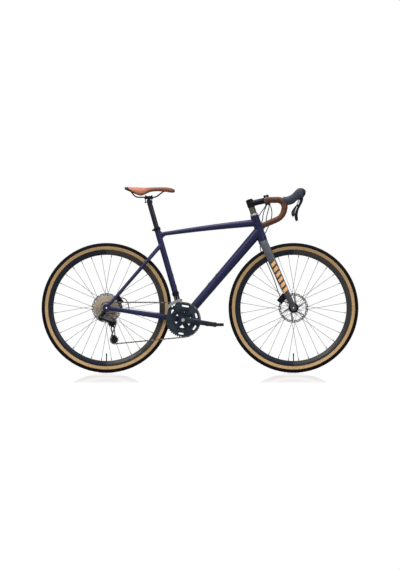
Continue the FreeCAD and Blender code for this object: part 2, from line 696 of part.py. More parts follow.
def spoke_solids(left_flange, right_flange):
    """Straight spokes, each with its nipple, round an axle at the origin."""
    count = int(round(float(d.spoke_count)))
    per_side = count // 2
    pitch = 360.0 / per_side
    sweep = float(d.spoke_crosses) * pitch
    hook = float(d.bead_seat_radius + d.rim_flange_height)
    bed = hook - float(d.rim_depth) - float(d.spoke_seat_gap) - 0.25
    radius = float(d.spoke_diameter) / 2
    nipple = float(d.nipple_diameter) / 2
    clear = float(d.flange_thickness) / 2 + radius + float(d.spoke_seat_gap)
    hole = float(d.flange_hole_radius)
    solids = []
    for side, flange in ((1, float(left_flange)), (-1, -float(right_flange))):
        for index in range(per_side):
            start_turn = math.radians((index + 0.25) * pitch + (0 if side > 0 else pitch / 2))
            ahead = 1 if index % 2 else -1
            end_turn = start_turn + math.radians(ahead * sweep)
            across = flange + ahead * (clear + (1.5 if ahead * side > 0 else 0))
            start = v(hole * math.cos(start_turn), across, hole * math.sin(start_turn))
            end = v(bed * math.cos(end_turn), side * d.rim_spoke_offset, bed * math.sin(end_turn))
            run = unit(end - start)
            foot = end - run * (nipple * 0.25)
            neck = foot - run * float(d.nipple_length)
            solids.append(rod(radius, start, neck))
            solids.append(rod(nipple, neck, foot))
    return solids


def rotor_shape():
    outer = float(d.rotor_radius)
    inner = outer - float(d.rotor_track)
    thick = float(d.rotor_thickness)
    low = -thick / 2
    track = cylinder(outer, thick, v(0, low, 0), ALONG_Y).cut(cylinder(inner, 9, v(0, -4, 0), ALONG_Y))
    centre = cylinder(d.rotor_carrier_radius, thick, v(0, low, 0), ALONG_Y)
    arms = []
    arm_count = int(round(float(d.rotor_arm_count)))
    half = float(d.rotor_arm_width) / 2
    for index in range(arm_count):
        turn = 360.0 * index / arm_count
        sweep = math.radians(26)
        root = v(float(d.rotor_carrier_radius) - 3, 0, 0)
        tip = v((inner + 3) * math.cos(sweep), 0, (inner + 3) * math.sin(sweep))
        arms.append(spun(capsule(root, tip, half + 0.4, half, low, -low), turn, ORIGIN))
    disc = track.fuse([centre] + arms)
    holes = [cylinder(d.rotor_bore_radius, 9, v(0, -4, 0), ALONG_Y)]
    hole_count = int(round(float(d.rotor_hole_count)))
    for index in range(hole_count):
        turn = 360.0 * index / hole_count
        reach = inner + (4.2 if index % 2 else float(d.rotor_track) - 4.2)
        spot = v(reach, -4, 0)
        holes.append(spun(cylinder(d.rotor_hole_diameter / 2, 9, spot, ALONG_Y), turn, ORIGIN))
    return disc.cut(Part.Compound(holes))


def hub_profile(width, left, right, rotor_at, drive_end):
    """Hub shell from the drive side to the rotor side; corners are (radius, across)."""
    bore = d.hub_bearing_outer / 2
    barrel = d.hub_barrel_radius
    tall = d.flange_hole_radius + d.flange_rim
    half = d.flange_thickness / 2
    thin = d.hub_bearing_inner / 2 + 1
    return [
        (bore, drive_end),
        (bore + 2.2, drive_end),
        (bore + 2.2, -right - half - 2),
        (bore + 3, -right - half),
        (tall, -right - half),
        (tall, -right + half),
        (bore + 2.5, -right + half),
        (barrel, -right + half + 8),
        (barrel, left - half - 8),
        (bore + 2.5, left - half),
        (tall, left - half),
        (tall, left + half),
        (bore + 3, left + half),
        (d.rotor_bore_radius + 2.5, left + half + 2),
        (d.rotor_bore_radius + 2.5, rotor_at - d.rotor_thickness / 2),
        (d.rotor_bore_radius - 0.03, rotor_at - d.rotor_thickness / 2),
        (d.rotor_bore_radius - 0.03, rotor_at + d.rotor_thickness / 2 + 3),
        (bore, rotor_at + d.rotor_thickness / 2 + 3),
        (bore, rotor_at + d.rotor_thickness / 2 + 3 - d.hub_bearing_width),
        (thin, rotor_at + d.rotor_thickness / 2 + 3 - d.hub_bearing_width),
        (thin, drive_end + d.hub_bearing_width),
        (bore, drive_end + d.hub_bearing_width),
    ]


def valve_shape(centre):
    hook = float(d.bead_seat_radius + d.rim_flange_height)
    bed = hook - float(d.rim_depth)
    down = Vector(0, 0, -1)
    top = centre + down * (bed - float(d.valve_length) + 2)
    stem = cylinder(d.valve_diameter / 2, float(d.valve_length) - 2 - 0.2 - 12, top + down * 12, down)
    cap = cylinder(d.valve_diameter / 2 + 0.6, 12, top, down)
    return stem.fuse(cap)


def make_wheel(name, centre, width, left, right, rotor_inset, drive_end, end_thickness):
    tyre = feature(name + "_tyre_shape", tyre_shape())
    tyre.Placement = Placement(centre, Rotation())
    node(name + "_tyre", tyre)
    rim = rim_body(name + "_rim_body", centre)
    node(name + "_rim", rim, feature(name + "_valve", valve_shape(centre)))
    spokes = feature(name + "_spoke_set", *spoke_solids(left, right))
    spokes.Placement = Placement(centre, Rotation())
    node(name + "_spokes", spokes)
    rotor_at = width / 2 - rotor_inset
    shell = turned(name + "_hub_shell", hub_profile(width, left, right, rotor_at, drive_end), at=centre)
    left_end = rotor_at + d.rotor_thickness / 2 + 3
    bore = d.hub_bearing_inner / 2
    outer = d.hub_bearing_outer / 2
    axle = d.axle_diameter / 2 + d.axle_clearance
    run = bore + d.axle_clearance
    left_bearing = ring(name + "_left_bearing", run, outer, left_end - d.hub_bearing_width, left_end, at=centre)
    right_bearing = ring(name + "_right_bearing", run, outer, drive_end, drive_end + d.hub_bearing_width,
                         at=centre)
    sleeve = turned(name + "_axle_sleeve", [
        (axle, -width / 2), (bore + 2, -width / 2), (bore + 2, -width / 2 + 3), (bore, -width / 2 + 3),
        (bore, width / 2 - 3), (bore + 2, width / 2 - 3), (bore + 2, width / 2), (axle, width / 2),
    ], at=centre)
    node(name + "_hub", shell, left_bearing, right_bearing)
    reach = width / 2 + end_thickness
    thru_axle = turned(name + "_thru_axle_rod", [
        (4, -reach - 2), (d.axle_diameter / 2, -reach - 2), (d.axle_diameter / 2, reach),
        (d.axle_diameter / 2 + 3, reach), (d.axle_diameter / 2 + 3, reach + 4), (4, reach + 4),
    ], at=centre)
    node(name + "_thru_axle", thru_axle, sleeve)
    rotor = feature(name + "_rotor_shape", rotor_shape())
    rotor.Placement = Placement(centre + ALONG_Y * float(rotor_at), Rotation())
    node(name + "_rotor", rotor)


make_wheel("front", front_axle, d.front_hub_width, d.front_left_flange, d.front_right_flange,
           d.front_rotor_inset, -d.front_right_flange - 8, d.fork_end_thickness)
make_wheel("rear", rear_axle, d.rear_hub_width, d.rear_left_flange, d.rear_right_flange,
           d.rear_rotor_inset, -d.rear_right_flange - 4, d.dropout_thickness)


# Fork

axle_play = d.axle_diameter / 2 + d.axle_clearance


def below_head(down, ahead=0.0, across=0.0):
    return head_foot - steer_up * float(down) + steer_forward * float(ahead) + ALONG_Y * float(across)


crown_gap = float(d.headset_gap)
steerer_top = (d.head_tube_length + d.headset_cover_height + 3 * d.spacer_height + d.stem_clamp_height - 3)
steerer = cylinder(d.steerer_diameter / 2, float(steerer_top) + 10, below_head(10), steer_up)
race = Part.makeCone(float(d.head_tube_bottom_diameter) / 2 - 4, float(d.head_bearing_inner) / 2 + 2, 3.0,
                     below_head(crown_gap + 2.6), steer_up)
crown = oval_loft([
    (below_head(crown_gap), float(d.head_tube_bottom_diameter) / 2, float(d.head_tube_bottom_diameter) / 2),
    (below_head(crown_gap + 3), float(d.head_tube_bottom_diameter) / 2, float(d.head_tube_bottom_diameter) / 2),
    (below_head(float(d.fork_crown_depth) * 0.45, 1), float(d.fork_crown_half_width) * 0.86, d.fork_leg_top + 1),
    (below_head(d.fork_crown_depth, 3), d.fork_crown_half_width, d.fork_leg_top),
])
leg_end = float(d.front_hub_width) / 2 + float(d.fork_end_thickness) / 2
leg_stations = []
for down, across, half_width, share in ((14, 27, 12, 0.0), (60, 36.5, 10, 0.14), (150, 41.5, 9.5, 0.38),
                                        (290, 51.5, 8, 0.85), (float(d.fork_length), leg_end, 7, 1.0)):
    ahead = float(d.fork_rake) * down / float(d.fork_length)
    half_height = float(d.fork_leg_top) * (1 - share) + float(d.fork_leg_bottom) * share
    leg_stations.append((below_head(down, ahead, across), half_width, half_height))
leg = oval_loft(leg_stations)
fork_end = cylinder(d.fork_end_radius, d.fork_end_thickness,
                    front_axle + ALONG_Y * (float(d.front_hub_width) / 2), ALONG_Y)
hub_room = cylinder(26, d.front_hub_width, front_axle - ALONG_Y * (float(d.front_hub_width) / 2), ALONG_Y)
outer_room = cylinder(30, 40, front_axle + ALONG_Y * (leg_end + float(d.fork_end_thickness) / 2), ALONG_Y)
leg = leg.fuse(fork_end).cut(hub_room).cut(outer_room)
axle_bore = cylinder(axle_play, 200, front_axle - ALONG_Y * 100, ALONG_Y)
leg = leg.cut(axle_bore)
tyre_room = cylinder(tyre_radius + 7, 56, front_axle - ALONG_Y * 28, ALONG_Y)
crown = crown.cut(tyre_room)
fork_shape = crown.fuse([steerer, race, leg, mirrored(leg)])
steerer_bore = cylinder(d.steerer_diameter / 2 - d.steerer_wall, float(steerer_top) + 20, below_head(6), steer_up)
fork_shape = fork_shape.cut(steerer_bore).removeSplitter()
fork = node("fork", feature("fork_shape", fork_shape))

# Headset

bearing_low = ring("lower_head_bearing", d.head_bearing_inner / 2, d.head_bearing_outer / 2,
                   0.8, d.head_bearing_height - 0.1, at=head_foot, axis=steer_up)
bearing_high = ring("upper_head_bearing", d.head_bearing_inner / 2, d.head_bearing_outer / 2,
                    d.head_tube_length - d.head_bearing_height + 0.1, d.head_tube_length - 0.2,
                    at=head_foot, axis=steer_up)
node("headset_bearings", bearing_low, bearing_high)
steerer_fit = d.steerer_diameter / 2 + d.pivot_clearance
cover = turned("headset_cover", [
    (steerer_fit, d.headset_gap), (d.head_tube_top_diameter / 2 - 0.5, d.headset_gap),
    (d.head_tube_top_diameter / 2 - 0.5, 4), (d.spacer_diameter / 2 + 1, d.headset_cover_height),
    (steerer_fit, d.headset_cover_height),
], at=head_top, axis=steer_up)
spacers = []
for index in range(3):
    foot = d.headset_cover_height + d.spacer_height * index
    spacers.append(ring(f"spacer_{index + 1}", steerer_fit, d.spacer_diameter / 2 - (0 if index % 2 else 0.3),
                        foot, foot + d.spacer_height, at=head_top, axis=steer_up))
stem_foot = d.headset_cover_height + 3 * d.spacer_height
cap_foot = stem_foot + d.stem_clamp_height
top_cap = turned("top_cap", [
    (2.6, cap_foot), (d.spacer_diameter / 2, cap_foot), (d.spacer_diameter / 2, cap_foot + 3),
    (d.spacer_diameter / 2 - 3, cap_foot + 5), (5, cap_foot + 5), (5, cap_foot + 2), (2.6, cap_foot + 2),
], at=head_top, axis=steer_up)
cap_bolt = turned("top_cap_bolt", [
    (0, cap_foot - 20), (2.5, cap_foot - 20), (2.5, cap_foot + 2), (4.6, cap_foot + 2), (4.6, cap_foot + 5.5),
    (0, cap_foot + 5.5),
], at=head_top, axis=steer_up)
node("headset_spacers", cover, *spacers, top_cap, cap_bolt)

# Stem

stem_mid = head_top + steer_up * (float(stem_foot) + float(d.stem_clamp_height) / 2)
stem_lift = math.radians(90 - float(d.head_angle) + float(d.stem_angle))
stem_along = v(math.cos(stem_lift), 0, math.sin(stem_lift))
stem_across = v(-math.sin(stem_lift), 0, math.cos(stem_lift))
bar_centre = stem_mid + stem_along * float(d.stem_length)
half_clamp = float(d.stem_clamp_height) / 2
steer_clamp = cylinder(d.stem_clamp_diameter / 2, d.stem_clamp_height, stem_mid - steer_up * half_clamp, steer_up)
half_bar_clamp = float(d.bar_clamp_width) / 2
bar_ring = cylinder(d.bar_clamp_diameter / 2, d.bar_clamp_width, bar_centre - ALONG_Y * half_bar_clamp, ALONG_Y)
extension = oval_loft([
    (stem_mid, 16, 17.5),
    (stem_mid + stem_along * (float(d.stem_length) * 0.45), 15.5, 16),
    (stem_mid + stem_along * (float(d.stem_length) - 6), 18, 17),
])
stem_body = steer_clamp.fuse([bar_ring, extension])
lug_high = bar_centre + stem_across * (float(d.bar_clamp_diameter) / 2 + 1)
lug_low = bar_centre - stem_across * (float(d.bar_clamp_diameter) / 2 + 1)
for spot in (lug_high, lug_low):
    for side in (-1, 1):
        lug = cylinder(5.5, 26, spot - stem_along * 13 + ALONG_Y * (side * (half_bar_clamp - 5.5)), stem_along)
        stem_body = stem_body.fuse(lug)
seat_post_hole = cylinder(steerer_fit, 80, stem_mid - steer_up * 40, steer_up)
bar_bore = cylinder(d.bar_bulge_diameter / 2, 120, bar_centre - ALONG_Y * 60, ALONG_Y)
stem_body = stem_body.cut(seat_post_hole).cut(bar_bore)
front_half = Part.makeBox(60, 120, 120)
front_half.translate(Vector(0, -60, -60))
front_half.Placement = Placement(bar_centre, Rotation(ALONG_Y, -math.degrees(stem_lift))).multiply(
    Placement(Vector(0.8, 0, 0), Rotation())).multiply(Placement(Vector(0, -60, -60), Rotation()))
front_gap = front_half.copy()
front_gap.translate(stem_along * -1.6)
faceplate = stem_body.common(front_half)
stem_body = stem_body.cut(front_gap)
face_bolts = []
bolt_holes = []
for spot in (lug_high, lug_low):
    for side in (-1, 1):
        axis_foot = spot + ALONG_Y * (side * (half_bar_clamp - 5.5))
        shank = cylinder(2.5, 24, axis_foot - stem_along * 12, stem_along)
        head = cylinder(4.2, 5, axis_foot + stem_along * 10, stem_along)
        face_bolts.append(shank.fuse(head))
        bolt_holes.append(shank.fuse(head))
stem_body = stem_body.cut(Part.Compound(bolt_holes))
faceplate = faceplate.cut(Part.Compound(bolt_holes))
node("stem", feature("stem_shape", stem_body))
node("stem_faceplate", feature("faceplate_shape", faceplate, *face_bolts))

# Handlebar, its tape and plugs

bar_corner = bar_centre + v(0, d.bar_half_tops, 0)
bar_front = bar_centre + v(d.bar_reach, d.bar_half_hoods, 2)
bar_low = bar_centre + v(d.bar_reach - 20, float(d.bar_half_hoods) + 13, -d.bar_drop * 0.67)
bar_end = bar_centre + v(-22, d.bar_half_ends, -d.bar_drop)


def bar_path(start):
    return rounded_path([bar_centre + v(0, start, 0), bar_corner, bar_front, bar_low, bar_end], (48, 40, 70))


bar_radius = float(d.bar_diameter) / 2
bulge_radius = float(d.bar_bulge_diameter) / 2
grip_rod = swept(bar_path(40), bar_radius)
bulge = cylinder(bulge_radius, 48, bar_centre, ALONG_Y)
taper = Part.makeCone(bulge_radius, bar_radius, 24, bar_centre + ALONG_Y * 48, ALONG_Y)
end_along = unit(bar_end - bar_low)
plug_bore = cylinder(bar_radius - 2.2, 24, bar_end - end_along * 22, end_along)
half_bar = bulge.fuse([taper, grip_rod]).cut(plug_bore)
bar_shape = half_bar.fuse(mirrored(half_bar)).removeSplitter()
node("handlebar", feature("bar_shape", bar_shape))
tape_radius = bar_radius + float(d.tape_thickness)
tape_outer = swept(bar_path(d.tape_start), tape_radius)
tape = tape_outer.cut(swept(bar_path(float(d.tape_start) - 4), bar_radius))
node("bar_tape", feature("tape_shapes", tape, mirrored(tape)))
plug = cylinder(tape_radius, 4, bar_end, end_along).fuse(
    cylinder(bar_radius - 2.25, 18, bar_end - end_along * 18, end_along))
node("bar_end_plugs", feature("plug_shapes", plug, mirrored(plug)))

# Lever brackets and hoods

hood_line = float(d.bar_half_hoods) + 1
hood_stations = []
for ahead, rise, half_height, width_share in ((90, -8, 25, 0.92), (113, -4, 22, 1.0), (142, 8, 23, 1.02),
                                              (165, 27, 25, 1.0), (184, 36, 28, 0.95), (198, 36, 20, 0.8),
                                              (206, 35, 8, 0.45)):
    centre = bar_centre + v(ahead, hood_line, rise)
    hood_stations.append((centre, float(d.hood_half_width) * width_share, half_height))
hood_solid = oval_loft(hood_stations)
skin = float(d.hood_skin)
bracket_stations = [(c, w - skin, h - skin) for c, w, h in hood_stations]
bracket_solid = oval_loft(bracket_stations[:-1])
lever_pivot = bar_centre + v(183, hood_line, 22)
lever_slots = []
for swing in (0, 12, 25):
    slot_top = v(lever_pivot.x, 0, lever_pivot.z)
    slot = capsule(slot_top, slot_top + v(-3, 0, -60), 11, 12, hood_line - 8, hood_line + 8)
    lever_slots.append(spun(slot, swing, lever_pivot))
lever_slot = lever_slots[0].fuse(lever_slots[1:])
lever_pin = cylinder(d.lever_pin_radius, 24, lever_pivot - ALONG_Y * 12, ALONG_Y)
hood_cover = hood_solid.cut(bracket_solid).cut(tape_outer).cut(lever_slot)
cheek = cylinder(8, 24, lever_pivot - ALONG_Y * 12, ALONG_Y)
bracket = bracket_solid.fuse(cheek).cut(tape_outer).cut(lever_slot).fuse(lever_pin)
hood_cover = hood_cover.cut(cheek)
main_hood = max(hood_cover.Solids, key=lambda solid: solid.Volume)
main_bracket = max(bracket.Solids, key=lambda solid: solid.Volume)
node("lever_bodies", feature("bracket_shapes", main_bracket, mirrored(main_bracket)))
node("hood_covers", feature("hood_shapes", main_hood, mirrored(main_hood)))


def side_curve(points, across):
    curve = Part.BSplineCurve()
    curve.interpolate([bar_centre + v(x, across, z) for x, z in points])
    return curve.toShape()


def side_strip(front, back, low, high):
    """A blade drawn by its front and back edges in the side view."""
    first = side_curve(front, low)
    second = side_curve(back, low)
    top = Part.LineSegment(second.Vertexes[0].Point, first.Vertexes[0].Point).toShape()
    foot = Part.LineSegment(first.Vertexes[-1].Point, second.Vertexes[-1].Point).toShape()
    face = Part.Face(Part.Wire(Part.sortEdges([top, first, foot, second])[0]))
    return face.extrude(Vector(0, high - low, 0))


half_lever = float(d.lever_width) / 2
blade = side_strip([(191, 22), (193, 3), (184, -23), (170, -50), (164, -88), (167, -111)],
                   [(175, 22), (180, 2), (170, -27), (157, -56), (152, -88), (158, -111)],
                   hood_line - half_lever, hood_line + half_lever)
barrel = cylinder(9, d.lever_width, lever_pivot - ALONG_Y * half_lever, ALONG_Y)
lever_bore = cylinder(d.lever_pin_radius + d.pivot_clearance, 40, lever_pivot - ALONG_Y * 20, ALONG_Y)
paddle_line = hood_line - half_lever + 3.2
paddle_top = bar_centre + v(173.5, paddle_line, 4)
paddle_low = bar_centre + v(162.5, paddle_line, -26)
paddle_along = unit(paddle_low - paddle_top)
lug_low_edge = hood_line - half_lever
lug_top = capsule(bar_centre + v(184, 0, 8), bar_centre + v(174.5, 0, 7), 3.4, 3.4,
                  lug_low_edge, lug_low_edge + 6.4)
lug_foot = capsule(bar_centre + v(172, 0, -31), bar_centre + v(161.5, 0, -29), 3.4, 3.4,
                   lug_low_edge, lug_low_edge + 6.4)
paddle_pin = rod(1.3, paddle_top - paddle_along * 5, paddle_low + paddle_along * 4)
lever = blade.fuse([barrel, lug_top, lug_foot]).cut(lever_bore).fuse(paddle_pin).removeSplitter()
paddle_blade = side_strip([(174, -1), (163, -28), (151, -57), (147.5, -84)],
                          [(168, -3), (155, -31), (135, -62), (143, -90)],
                          paddle_line - 2.2, paddle_line + 2.2)
paddle_barrel = rod(3.1, paddle_top + paddle_along * 3.5, paddle_low - paddle_along * 3.0)
paddle_bore = rod(1.3 + float(d.pivot_clearance), paddle_top - paddle_along * 6, paddle_low + paddle_along * 6)
paddle_clear = rod(4.2, paddle_top - paddle_along * 6, paddle_top + paddle_along * 3.2)
paddle_clear_low = rod(4.2, paddle_low - paddle_along * 2.7, paddle_low + paddle_along * 7)
paddle = paddle_blade.cut(blade).fuse(paddle_barrel).cut(paddle_bore).cut(paddle_clear).cut(paddle_clear_low)
paddle = max(paddle.Solids, key=lambda solid: solid.Volume)
lever = lever.cut(rod(3.5, paddle_top + paddle_along * 3.2, paddle_low - paddle_along * 2.7)).fuse(paddle_pin)
lever = max(lever.Solids, key=lambda solid: solid.Volume)
node("left_brake_lever", feature("left_lever_shape", lever))
node("right_brake_lever", feature("right_lever_shape", mirrored(lever)))
node("left_shift_paddle", feature("left_paddle_shape", paddle))
node("right_shift_paddle", feature("right_paddle_shape", mirrored(paddle)))


# Saddle group

def saddle_arch(x, half_width, low, high):
    """An arch in the cross plane, from the left skirt over the crown to the right skirt."""
    rise = high - low
    points = [
        v(x, half_width, low),
        v(x, half_width * 0.97, low + rise * 0.5),
        v(x, half_width * 0.72, high - rise * 0.12),
        v(x, half_width * 0.30, high - rise * 0.015),
        v(x, -half_width * 0.30, high - rise * 0.015),
        v(x, -half_width * 0.72, high - rise * 0.12),
        v(x, -half_width * 0.97, low + rise * 0.5),
        v(x, -half_width, low),
    ]
    curve = Part.BSplineCurve()
    curve.interpolate(points)
    return curve.toShape()


def saddle_layer(outer_inset, inner_inset, first, last):
    """A curved skin between two depths under the saddle's outside."""
    sections = []
    for share, width, drop, skirt in saddle_stations[first:last]:
        thin = min(1.0, (skirt - drop) / float(d.saddle_full_depth))
        x = -float(d.saddle_setback) + float(d.saddle_length) * share
        high = float(d.saddle_height) - drop
        low = float(d.saddle_height) - skirt
        half = float(d.saddle_width) / 2 * width
        side_outer = outer_inset * thin * 0.45
        side_inner = inner_inset * thin * 0.45
        outer = saddle_arch(x, half - side_outer, low, high - outer_inset * thin)
        inner = saddle_arch(x, half - side_inner, low, high - inner_inset * thin)
        left = Part.LineSegment(inner.Vertexes[0].Point, outer.Vertexes[0].Point).toShape()
        right = Part.LineSegment(outer.Vertexes[-1].Point, inner.Vertexes[-1].Point).toShape()
        sections.append(Part.Wire(Part.sortEdges([outer, right, inner, left])[0]))
    return loft(sections)


# Share of the length, share of the half width, drop of the crown and depth of the skirt
saddle_stations = [
    (0.0, 0.70, 2.0, 13), (0.03, 0.82, 0.5, 16), (0.09, 0.94, 0.0, 23), (0.20, 1.0, 1.5, 36),
    (0.33, 0.88, 3.5, 46), (0.50, 0.55, 3.5, 28), (0.64, 0.36, 2.0, 23), (0.80, 0.27, 2.5, 26),
    (0.94, 0.23, 8.0, 31), (1.0, 0.16, 17.0, 29),
]
pad = float(d.saddle_pad)
shell = float(d.saddle_shell)
saddle_cover = saddle_layer(0.0, pad, 0, 10)
saddle_base = saddle_layer(pad + 0.25, pad + 0.25 + shell, 0, 10)
saddle_tail = -float(d.saddle_setback)
base_room = box_between(v(saddle_tail + 9, -200, 0), v(saddle_tail + float(d.saddle_length) - 16, 200, 2000))
saddle_base = saddle_base.common(base_room)
node("saddle_cover", feature("saddle_cover_shape", saddle_cover))
node("saddle_base", feature("saddle_base_shape", saddle_base))
rail_mid = on_seat_tube(d.seatpost_head) + v(0, d.saddle_rail_spacing / 2, 14)
rail_path = rounded_path([
    v(-d.saddle_setback + 20, 40, d.saddle_height - 8),
    rail_mid + v(-70, 0, 0), rail_mid + v(38, 0, 0),
    v(-d.saddle_setback + d.saddle_length * 0.86, 6.5, d.saddle_height - 8),
], (34, 40))
rail = swept(rail_path, d.saddle_rail_diameter / 2).cut(saddle_base).cut(saddle_cover)
rail = max(rail.Solids, key=lambda solid: solid.Volume)
node("saddle_rails", feature("rail_shapes", rail, mirrored(rail)))
rail_top = rail_mid.z
clamp_at = v(rail_mid.x, 0, rail_top)
half_clamp_width = float(d.saddle_rail_spacing) / 2 + 7
post_top = on_seat_tube(d.seatpost_head - 6)
post_foot = on_seat_tube(d.seat_tube_length - d.seatpost_insert)
post = rod(d.seatpost_diameter / 2, post_foot, post_top)
post_head = cylinder(12, 2 * half_clamp_width - 8, post_top - ALONG_Y * (half_clamp_width - 4), ALONG_Y)
post_slim = float(d.seatpost_diameter) / 2 - 0.8
post_neck = oval_loft([(on_seat_tube(float(d.seatpost_head) - 44), post_slim, post_slim), (post_top, 20, 11)])
post = post.fuse([post_head, post_neck])
cradle = box_between(clamp_at + v(-23, -half_clamp_width, -10), clamp_at + v(23, half_clamp_width, -0.2))
top_clamp = box_between(clamp_at + v(-19, -half_clamp_width, 0.2), clamp_at + v(19, half_clamp_width, 7))
post_bore = rod(d.seatpost_diameter / 2 - 2.6, post_foot - seat_up * 5, on_seat_tube(float(d.seatpost_head) - 50))
clamp_bolts = []
for ahead in (-17.0, 17.0):
    foot = clamp_at + v(ahead, 0, -30)
    shank = cylinder(2.5, 38, foot, ALONG_Z)
    clamp_bolts.append(shank.fuse(cylinder(4.5, 4, clamp_at + v(ahead, 0, 7), ALONG_Z)).fuse(
        cylinder(5, 6, foot, ALONG_Z)))
clamp_cut = Part.Compound(clamp_bolts)
rails_cut = Part.Compound([rail, mirrored(rail)])
post = post.cut(clamp_cut).cut(post_bore)
cradle = cradle.cut(post).cut(rails_cut).cut(clamp_cut)
cradle = max(cradle.Solids, key=lambda solid: solid.Volume)
top_clamp = top_clamp.cut(rails_cut).cut(clamp_cut)
post = post.cut(cradle)
post = max(post.Solids, key=lambda solid: solid.Volume)
node("seatpost", feature("seatpost_shape", post))
node("saddle_clamp", feature("saddle_clamp_shapes", cradle, top_clamp, *clamp_bolts))
collar_top = on_seat_tube(float(d.seat_tube_length) + 3)
collar_inner = d.seat_tube_diameter / 2
collar = turned("seat_collar_ring", [
    (collar_inner, -16), (collar_inner + 3.2, -16), (collar_inner + 3.2, 0), (collar_inner - 2, 0.6),
    (collar_inner - 2, -2.9), (collar_inner, -2.9),
], at=collar_top, axis=seat_up)
collar_lug = cylinder(5, 18, collar_top - seat_up * 8 + seat_back * (float(collar_inner) + 7.2) - ALONG_Y * 9, ALONG_Y)
collar_room = cylinder(collar_inner + 3.2, 40, collar_top - seat_up * 30, seat_up)
node("seat_clamp", collar, feature("seat_collar_bolt", collar_lug.cut(collar_room)))

# Crank, chainrings and pedals

crank_turn = -float(d.crank_angle)
ring_line = float(d.ring_line)
outer_ring_y = -ring_line - float(d.ring_gap) / 2
inner_ring_y = -ring_line + float(d.ring_gap) / 2
spindle_radius = float(d.bb_spindle_diameter) / 2
half_q = float(d.crank_q) / 2
arm_length = float(d.crank_length)


def arm_shape():
    """Crank arm along +X with its inner side towards the bike, on the left side."""
    arm = oval_loft([
        (v(0, half_q - 11.5, 0), 8, 17), (v(40, half_q - 11, 0), 7.5, 15.5),
        (v(100, half_q - 9, 0), 6.5, 13.5), (v(arm_length, half_q - 6, 0), 6, 12.5),
    ], square=0.7)
    boss = cylinder(20, 18, v(0, half_q - 21.5, 0), ALONG_Y)
    eye = cylinder(13.5, 12, v(arm_length, half_q - 12, 0), ALONG_Y)
    return arm.fuse([boss, eye]).cut(cylinder(7, 60, v(arm_length, half_q - 40, 0), ALONG_Y))


left_arm = arm_shape().cut(cylinder(spindle_radius, 60, v(0, half_q - 40, 0), ALONG_Y))
right_arm = mirrored(arm_shape())
spindle = cylinder(spindle_radius, 2 * half_q - 8, v(0, 4 - half_q, 0), ALONG_Y)
spider_in = outer_ring_y + 1.2
spider_out = inner_ring_y - 1.7
right_arm = right_arm.fuse([spindle, cylinder(20, spider_out + half_q - 8, v(0, 8 - half_q, 0), ALONG_Y)])
bolt_turns = (55, -55, 125, -125)
ring_bolts = []
for turn in bolt_turns:
    tip = v(56, 0, 0)
    bar = capsule(v(8, 0, 0), tip, 16, 12, spider_in, spider_out)
    right_arm = right_arm.fuse(spun(bar, turn, ORIGIN))
    outer_bolt = cylinder(4, 7.5, v(55, outer_ring_y - 2, 0), ALONG_Y).fuse(
        cylinder(6, 1.5, v(55, outer_ring_y - 3.5, 0), ALONG_Y))
    inner_bolt = cylinder(4, 5.5, v(40, inner_ring_y - 4.5, 0), ALONG_Y).fuse(
        cylinder(6, 1.5, v(40, inner_ring_y + 1, 0), ALONG_Y))
    ring_bolts.append(spun(outer_bolt, turn, ORIGIN))
    ring_bolts.append(spun(inner_bolt, turn, ORIGIN))
right_arm = right_arm.cut(Part.Compound(ring_bolts))
right_arm = right_arm.cut(cylinder(8.5, 2 * half_q, v(0, 14 - half_q, 0), ALONG_Y))
right_arm = right_arm.cut(cylinder(9.5, 12, v(0, -half_q - 6, 0), ALONG_Y)).removeSplitter()

pitch = float(d.chain_pitch)
roller = float(d.roller_radius)


def pitch_radius(teeth):
    return pitch / (2 * math.sin(math.pi / teeth))


def sprocket_blank(teeth, phase, thickness):
    """A toothed disc about Y at the origin; a tooth gap lies at the phase angle from +X towards +Z."""
    radius = pitch_radius(teeth)
    seat = roller + 0.2
    step = 2 * math.pi / teeth
    tip = radius + 3.1
    tip_half = 0.55 / radius
    edges = []
    corners = []
    for index in range(teeth):
        turn = phase + index * step
        outward = Vector(math.cos(turn), 0, math.sin(turn))
        sideways = Vector(-math.sin(turn), 0, math.cos(turn))
        pin = outward * radius
        spread = math.radians(64)
        before = pin - outward * (seat * math.cos(spread)) - sideways * (seat * math.sin(spread))
        deepest = pin - outward * seat
        after = pin - outward * (seat * math.cos(spread)) + sideways * (seat * math.sin(spread))
        middle = turn + step / 2
        tip_before = Vector(math.cos(middle - tip_half) * tip, 0, math.sin(middle - tip_half) * tip)
        tip_after = Vector(math.cos(middle + tip_half) * tip, 0, math.sin(middle + tip_half) * tip)
        corners.append((before, deepest, after, tip_before, tip_after))
    for index in range(teeth):
        before, deepest, after, tip_before, tip_after = corners[index]
        following = corners[(index + 1) % teeth][0]
        edges.append(Part.Arc(before, deepest, after).toShape())
        edges.append(Part.LineSegment(after, tip_before).toShape())
        edges.append(Part.LineSegment(tip_before, tip_after).toShape())
        edges.append(Part.LineSegment(tip_after, following).toShape())
    face = Part.Face(Part.Wire(edges))
    face.translate(Vector(0, -thickness / 2, 0))
    return face.extrude(Vector(0, thickness, 0))


# Chain route over chainring, tension pulley, guide pulley and sprocket, in the side plane

COG_TEETH = (11, 13, 15, 17, 19, 21, 23, 25, 27, 30, 34)
GEAR = 2
ring_teeth = int(round(float(d.large_ring_teeth)))
inner_teeth = int(round(float(d.small_ring_teeth)))
pulley_teeth = int(round(float(d.pulley_teeth)))
gear_y = -float(d.first_cog_line) + GEAR * float(d.cog_pitch)
guide_at = rear_axle + v(30, 0, -80)
cage_length = 91.0
pivot_at = guide_at + v(6, 0, 13)


